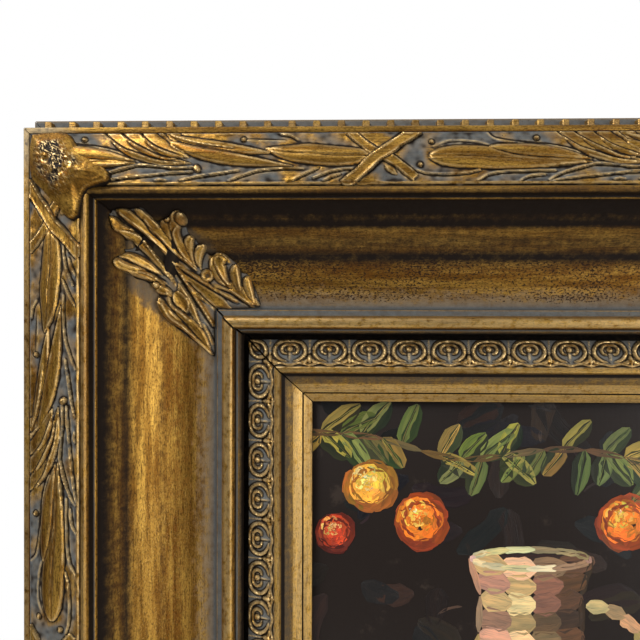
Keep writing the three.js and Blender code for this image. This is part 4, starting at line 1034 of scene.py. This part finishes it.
for x, y, radius, tones in [
    (30, 44, 14, GOLDEN), (56, 62, 15, ORANGE), (12, 68, 11, RUSSET), (160, 62, 15, ORANGE), (188, 78, 13, GOLDEN),
    (236, 106, 17, RUSSET), (268, 124, 18, GOLDEN), (300, 138, 15, ORANGE),
]:
    fruit(x, y, radius, *tones)
# Fruit on the table, right of the jug and before it.
for x, y, radius, tones in [
    (272, 272, 25, ORANGE), (318, 280, 26, GOLDEN), (366, 286, 24, RUSSET), (296, 310, 24, GOLDEN),
    (344, 316, 25, ORANGE), (64, 318, 24, GOLDEN), (112, 332, 22, RUSSET),
]:
    fruit(x, y, radius, *tones)
for x, y, turn in [(396, 262, -0.6), (402, 290, 0.4), (40, 296, 3.4), (250, 256, -2.4)]:
    spray(x, y, turn, 34, 14, LEAF_GREEN, LEAF_SHADE)

# Each mark is a thin closed slab, full in its middle and ridged where the brush left it.
LENGTHS, BREADTHS = 6, 2
template = bmesh.new()
bmesh.ops.create_grid(template, x_segments=BREADTHS, y_segments=LENGTHS, size=1.0)
top = template.faces[:]
bottom = bmesh.ops.duplicate(template, geom=top)["geom"]
under = [g for g in bottom if isinstance(g, bmesh.types.BMVert)]
bmesh.ops.translate(template, verts=under, vec=(0, 0, -1))
bmesh.ops.bridge_loops(template, edges=[e for e in template.edges if e.is_boundary])
bmesh.ops.recalc_face_normals(template, faces=template.faces)
mark = bpy.data.meshes.new("mark")
template.to_mesh(mark)
template.free()
shape = np.zeros(3 * len(mark.vertices), np.float32)
mark.vertices.foreach_get("co", shape)
shape = shape.reshape(-1, 3)
sheet = bmesh.new()
for _ in strokes:
    sheet.from_mesh(mark)
paint_marks = bpy.data.meshes.new("marks")
sheet.to_mesh(paint_marks)
sheet.free()
bpy.data.meshes.remove(mark)
k = ((shape[:, 1] + 1) / 2)[None, :, None]
across = shape[None, :, 0, None]
start, control, end = (np.array([s[i] for s in strokes], float)[:, None, :] for i in (0, 1, 2))
wide, thick = (np.array([s[i] for s in strokes], float)[:, None, None] for i in (3, 4))
line = (1 - k) ** 2 * start + 2 * k * (1 - k) * control + k**2 * end
heading = 2 * (1 - k) * (control - start) + 2 * k * (end - control)
heading = heading / np.maximum(np.hypot(heading[..., :1], heading[..., 1:]), 1e-6)
order = hand.uniform(0, 6.28, size=(len(strokes), 1, 1))
ragged = 1 + 0.12 * np.sin(k * 9 + order) + 0.08 * np.sin(across * 5 + k * 14 + order)
taper = np.clip(np.minimum(k * 5, (1 - k) * 3.2), 0, 1) ** 0.5
reach = across * wide * (0.25 + 0.75 * taper) * ragged
spot = line + np.concatenate([-heading[..., 1:], heading[..., :1]], axis=-1) * reach
spot[..., 0] = np.clip(spot[..., 0], -3, SIGHT_WIDTH + 3)
spot[..., 1] = np.clip(spot[..., 1], -3, SIGHT_HEIGHT + 3)
full = 0.45 + 0.55 * np.abs(across) ** 2 + 0.3 * (k > 0.8)
lifted = 0.02 + thick * full * (0.6 + 0.4 * taper) + 0.03 * np.arange(len(strokes))[:, None, None] / len(strokes)
lift = np.where(shape[None, :, 2, None] < -0.5, -0.1, np.clip(lifted, 0, 0.27))
x = spot[..., :1] + RAIL_TO_SIGHT - half_width + centre_x
z = half_height - RAIL_TO_SIGHT - spot[..., 1:] + centre_z
y = canvas_low.y / MM - lift
paint_marks.vertices.foreach_set("co", (np.concatenate([x, y, z], axis=-1) * MM).astype(np.float32).ravel())
colour = np.broadcast_to(np.array([s[5] for s in strokes])[:, None, :], spot.shape[:2] + (3,))
colour = np.concatenate([colour, np.ones(spot.shape[:2] + (1,))], axis=-1)
made = paint_marks.attributes.new("paint", "FLOAT_COLOR", "POINT")
made.data.foreach_set("color", colour.astype(np.float32).ravel())
number = np.arange(len(strokes))[:, None, None]
brush = np.concatenate([k * 30 + number * 7.3, across * wide + number * 3.1, number + 0 * k], axis=-1) * MM
made = paint_marks.attributes.new("run", "FLOAT_VECTOR", "POINT")
made.data.foreach_set("vector", brush.astype(np.float32).ravel())
for layer, default in (("paint", (0.014, 0.01, 0.008, 1)),):
    base = bm.verts.layers.float_color.new(layer)
    for v in bm.verts:
        v[base] = default
bm.from_mesh(paint_marks)
bpy.data.meshes.remove(paint_marks)

# Oil paint in front, half mixed along each mark and lightly varnished.
paint = bpy.data.materials.new("oil paint")
paint.use_nodes = True
tree = paint.node_tree
shader = tree.nodes["Principled BSDF"]
laid = node(tree, "ShaderNodeAttribute", attribute_name="paint").outputs["Color"]
run = node(tree, "ShaderNodeAttribute", attribute_name="run").outputs["Vector"]
place = node(tree, "ShaderNodeTexCoord").outputs["Object"]
bristle = noise(tree, run, (60, 2600, 1), 1.0, 3.0)
mixed = noise(tree, run, (40, 500, 1), 1.0, 2.0)
ground = noise(tree, place, (60, 60, 60), 1.0, 6.0, 0.65)
tone = blend(tree, between(tree, mixed, 0.3, 0.75), laid, blend(tree, 0.7, laid, (1.9, 1.6, 1.4, 1), "MULTIPLY"))
tone = blend(tree, sum_of(tree, "MULTIPLY", between(tree, bristle, 0.5, 0.72), 0.45), tone, (0.02, 0.012, 0.01, 1))
tone = blend(tree, sum_of(tree, "MULTIPLY", between(tree, ground, 0.62, 0.7), 0.25), tone, (0.1, 0.07, 0.05, 1))
weave = node(tree, "ShaderNodeTexWave", {"Vector": place, "Scale": 500.0, "Distortion": 0.6}, bands_direction="X")
weft = node(tree, "ShaderNodeTexWave", {"Vector": place, "Scale": 500.0, "Distortion": 0.6}, bands_direction="Z")
threads = sum_of(tree, "MULTIPLY", weave.outputs["Fac"], weft.outputs["Fac"])
height = sum_of(tree, "ADD", sum_of(tree, "MULTIPLY", threads, 0.25), bristle)
bump = node(tree, "ShaderNodeBump", {"Height": height, "Distance": 0.00012})
tree.links.new(tone, shader.inputs["Base Color"])
tree.links.new(bump.outputs[0], shader.inputs["Normal"])
tree.links.new(sum_of(tree, "ADD", sum_of(tree, "MULTIPLY", bristle, 0.25), 0.24), shader.inputs["Roughness"])
shader.inputs["Specular IOR Level"].default_value = 0.35

linen = bpy.data.materials.new("raw linen")
linen.use_nodes = True
tree = linen.node_tree
shader = tree.nodes["Principled BSDF"]
place = node(tree, "ShaderNodeTexCoord").outputs["Object"]
warp = node(tree, "ShaderNodeTexWave", {"Vector": place, "Scale": 330.0, "Distortion": 1.2}, bands_direction="X")
weft = node(tree, "ShaderNodeTexWave", {"Vector": place, "Scale": 330.0, "Distortion": 1.2}, bands_direction="Z")
threads = sum_of(tree, "MAXIMUM", warp.outputs["Fac"], weft.outputs["Fac"])
slub = noise(tree, place, (90, 90, 900), 1.0, 4.0)
stain = noise(tree, place, (9, 9, 9), 1.0, 4.0)
tone = blend(tree, slub, (0.36, 0.28, 0.18, 1), (0.52, 0.43, 0.3, 1))
tone = blend(tree, between(tree, stain, 0.5, 0.75), tone, (0.27, 0.2, 0.12, 1))
tone = blend(tree, sum_of(tree, "SUBTRACT", 0.5, sum_of(tree, "MULTIPLY", threads, 0.5)), tone, (0.16, 0.115, 0.07, 1))
bump = node(tree, "ShaderNodeBump", {"Height": threads, "Distance": 0.00025})
tree.links.new(tone, shader.inputs["Base Color"])
tree.links.new(bump.outputs[0], shader.inputs["Normal"])
shader.inputs["Roughness"].default_value = 0.9

raw = [f for f in bm.faces if f.calc_center_median().y > canvas_low.y + 0.3 * MM]
canvas = finished("oil_painting", bm, paint, "painted_canvas", "canvas", sharp=50)
canvas.data.materials.append(linen)
raw_faces = [p for p in canvas.data.polygons if p.center.y > canvas_low.y + 0.3 * MM]
for p in raw_faces:
    p.material_index = 1

# ---- Stretcher bars ----
# Four planed pine bars mitred under the linen, keyed at their corners. Their own solids are kept as they are
# and take the look of aged pine, its grain along each bar.
def pine(name, stretch):
    material = bpy.data.materials.new(name)
    material.use_nodes = True
    tree = material.node_tree
    shader = tree.nodes["Principled BSDF"]
    place = node(tree, "ShaderNodeTexCoord").outputs["Object"]
    figure = noise(tree, place, stretch, 1.0, 5.0, 0.6)
    fibre = noise(tree, place, [s * 6 for s in stretch], 1.0, 3.0)
    age = noise(tree, place, (7, 7, 7), 1.0, 4.0)
    tone = blend(tree, between(tree, figure, 0.38, 0.62), (0.58, 0.39, 0.19, 1), (0.42, 0.23, 0.09, 1))
    tone = blend(tree, sum_of(tree, "MULTIPLY", fibre, 0.35), tone, (0.3, 0.16, 0.07, 1))
    tone = blend(tree, between(tree, age, 0.45, 0.8), tone, (0.24, 0.14, 0.07, 1))
    bump = node(tree, "ShaderNodeBump", {"Height": fibre, "Distance": 0.0002})
    tree.links.new(tone, shader.inputs["Base Color"])
    tree.links.new(bump.outputs[0], shader.inputs["Normal"])
    shader.inputs["Roughness"].default_value = 0.62
    return material


level_pine = pine("pine, grain level", (6, 130, 190))
upright_pine = pine("pine, grain upright", (190, 130, 6))
for side in SIDES:
    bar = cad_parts[f"stretcher_bar_{side['name']}"]
    bar.data.materials.clear()
    bar.data.materials.append(level_pine if side["turn"] % 180 == 0 else upright_pine)

# ---- Steel points ----
# Thin glazier's points, driven into the slip behind the stretcher, hold the picture. Their solids are kept and
# look like rolled steel gone dull and lightly rusted.
steel = bpy.data.materials.new("dull rolled steel")
steel.use_nodes = True
tree = steel.node_tree
shader = tree.nodes["Principled BSDF"]
place = node(tree, "ShaderNodeTexCoord").outputs["Object"]
rolled = noise(tree, place, (2500, 300, 300), 1.0, 3.0)
rust = noise(tree, place, (260, 260, 260), 1.0, 6.0, 0.65)
tone = blend(tree, rolled, (0.3, 0.3, 0.31, 1), (0.5, 0.5, 0.51, 1))
rusted = between(tree, rust, 0.52, 0.66)
tone = blend(tree, rusted, tone, (0.2, 0.075, 0.025, 1))
bump = node(tree, "ShaderNodeBump", {"Height": rust, "Distance": 0.0001})
tree.links.new(tone, shader.inputs["Base Color"])
tree.links.new(bump.outputs[0], shader.inputs["Normal"])
tree.links.new(sum_of(tree, "SUBTRACT", 1.0, rusted), shader.inputs["Metallic"])
tree.links.new(sum_of(tree, "ADD", 0.35, sum_of(tree, "MULTIPLY", rusted, 0.45)), shader.inputs["Roughness"])
for name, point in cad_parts.items():
    if name.startswith("steel_point"):
        point.data.materials.clear()
        point.data.materials.append(steel)
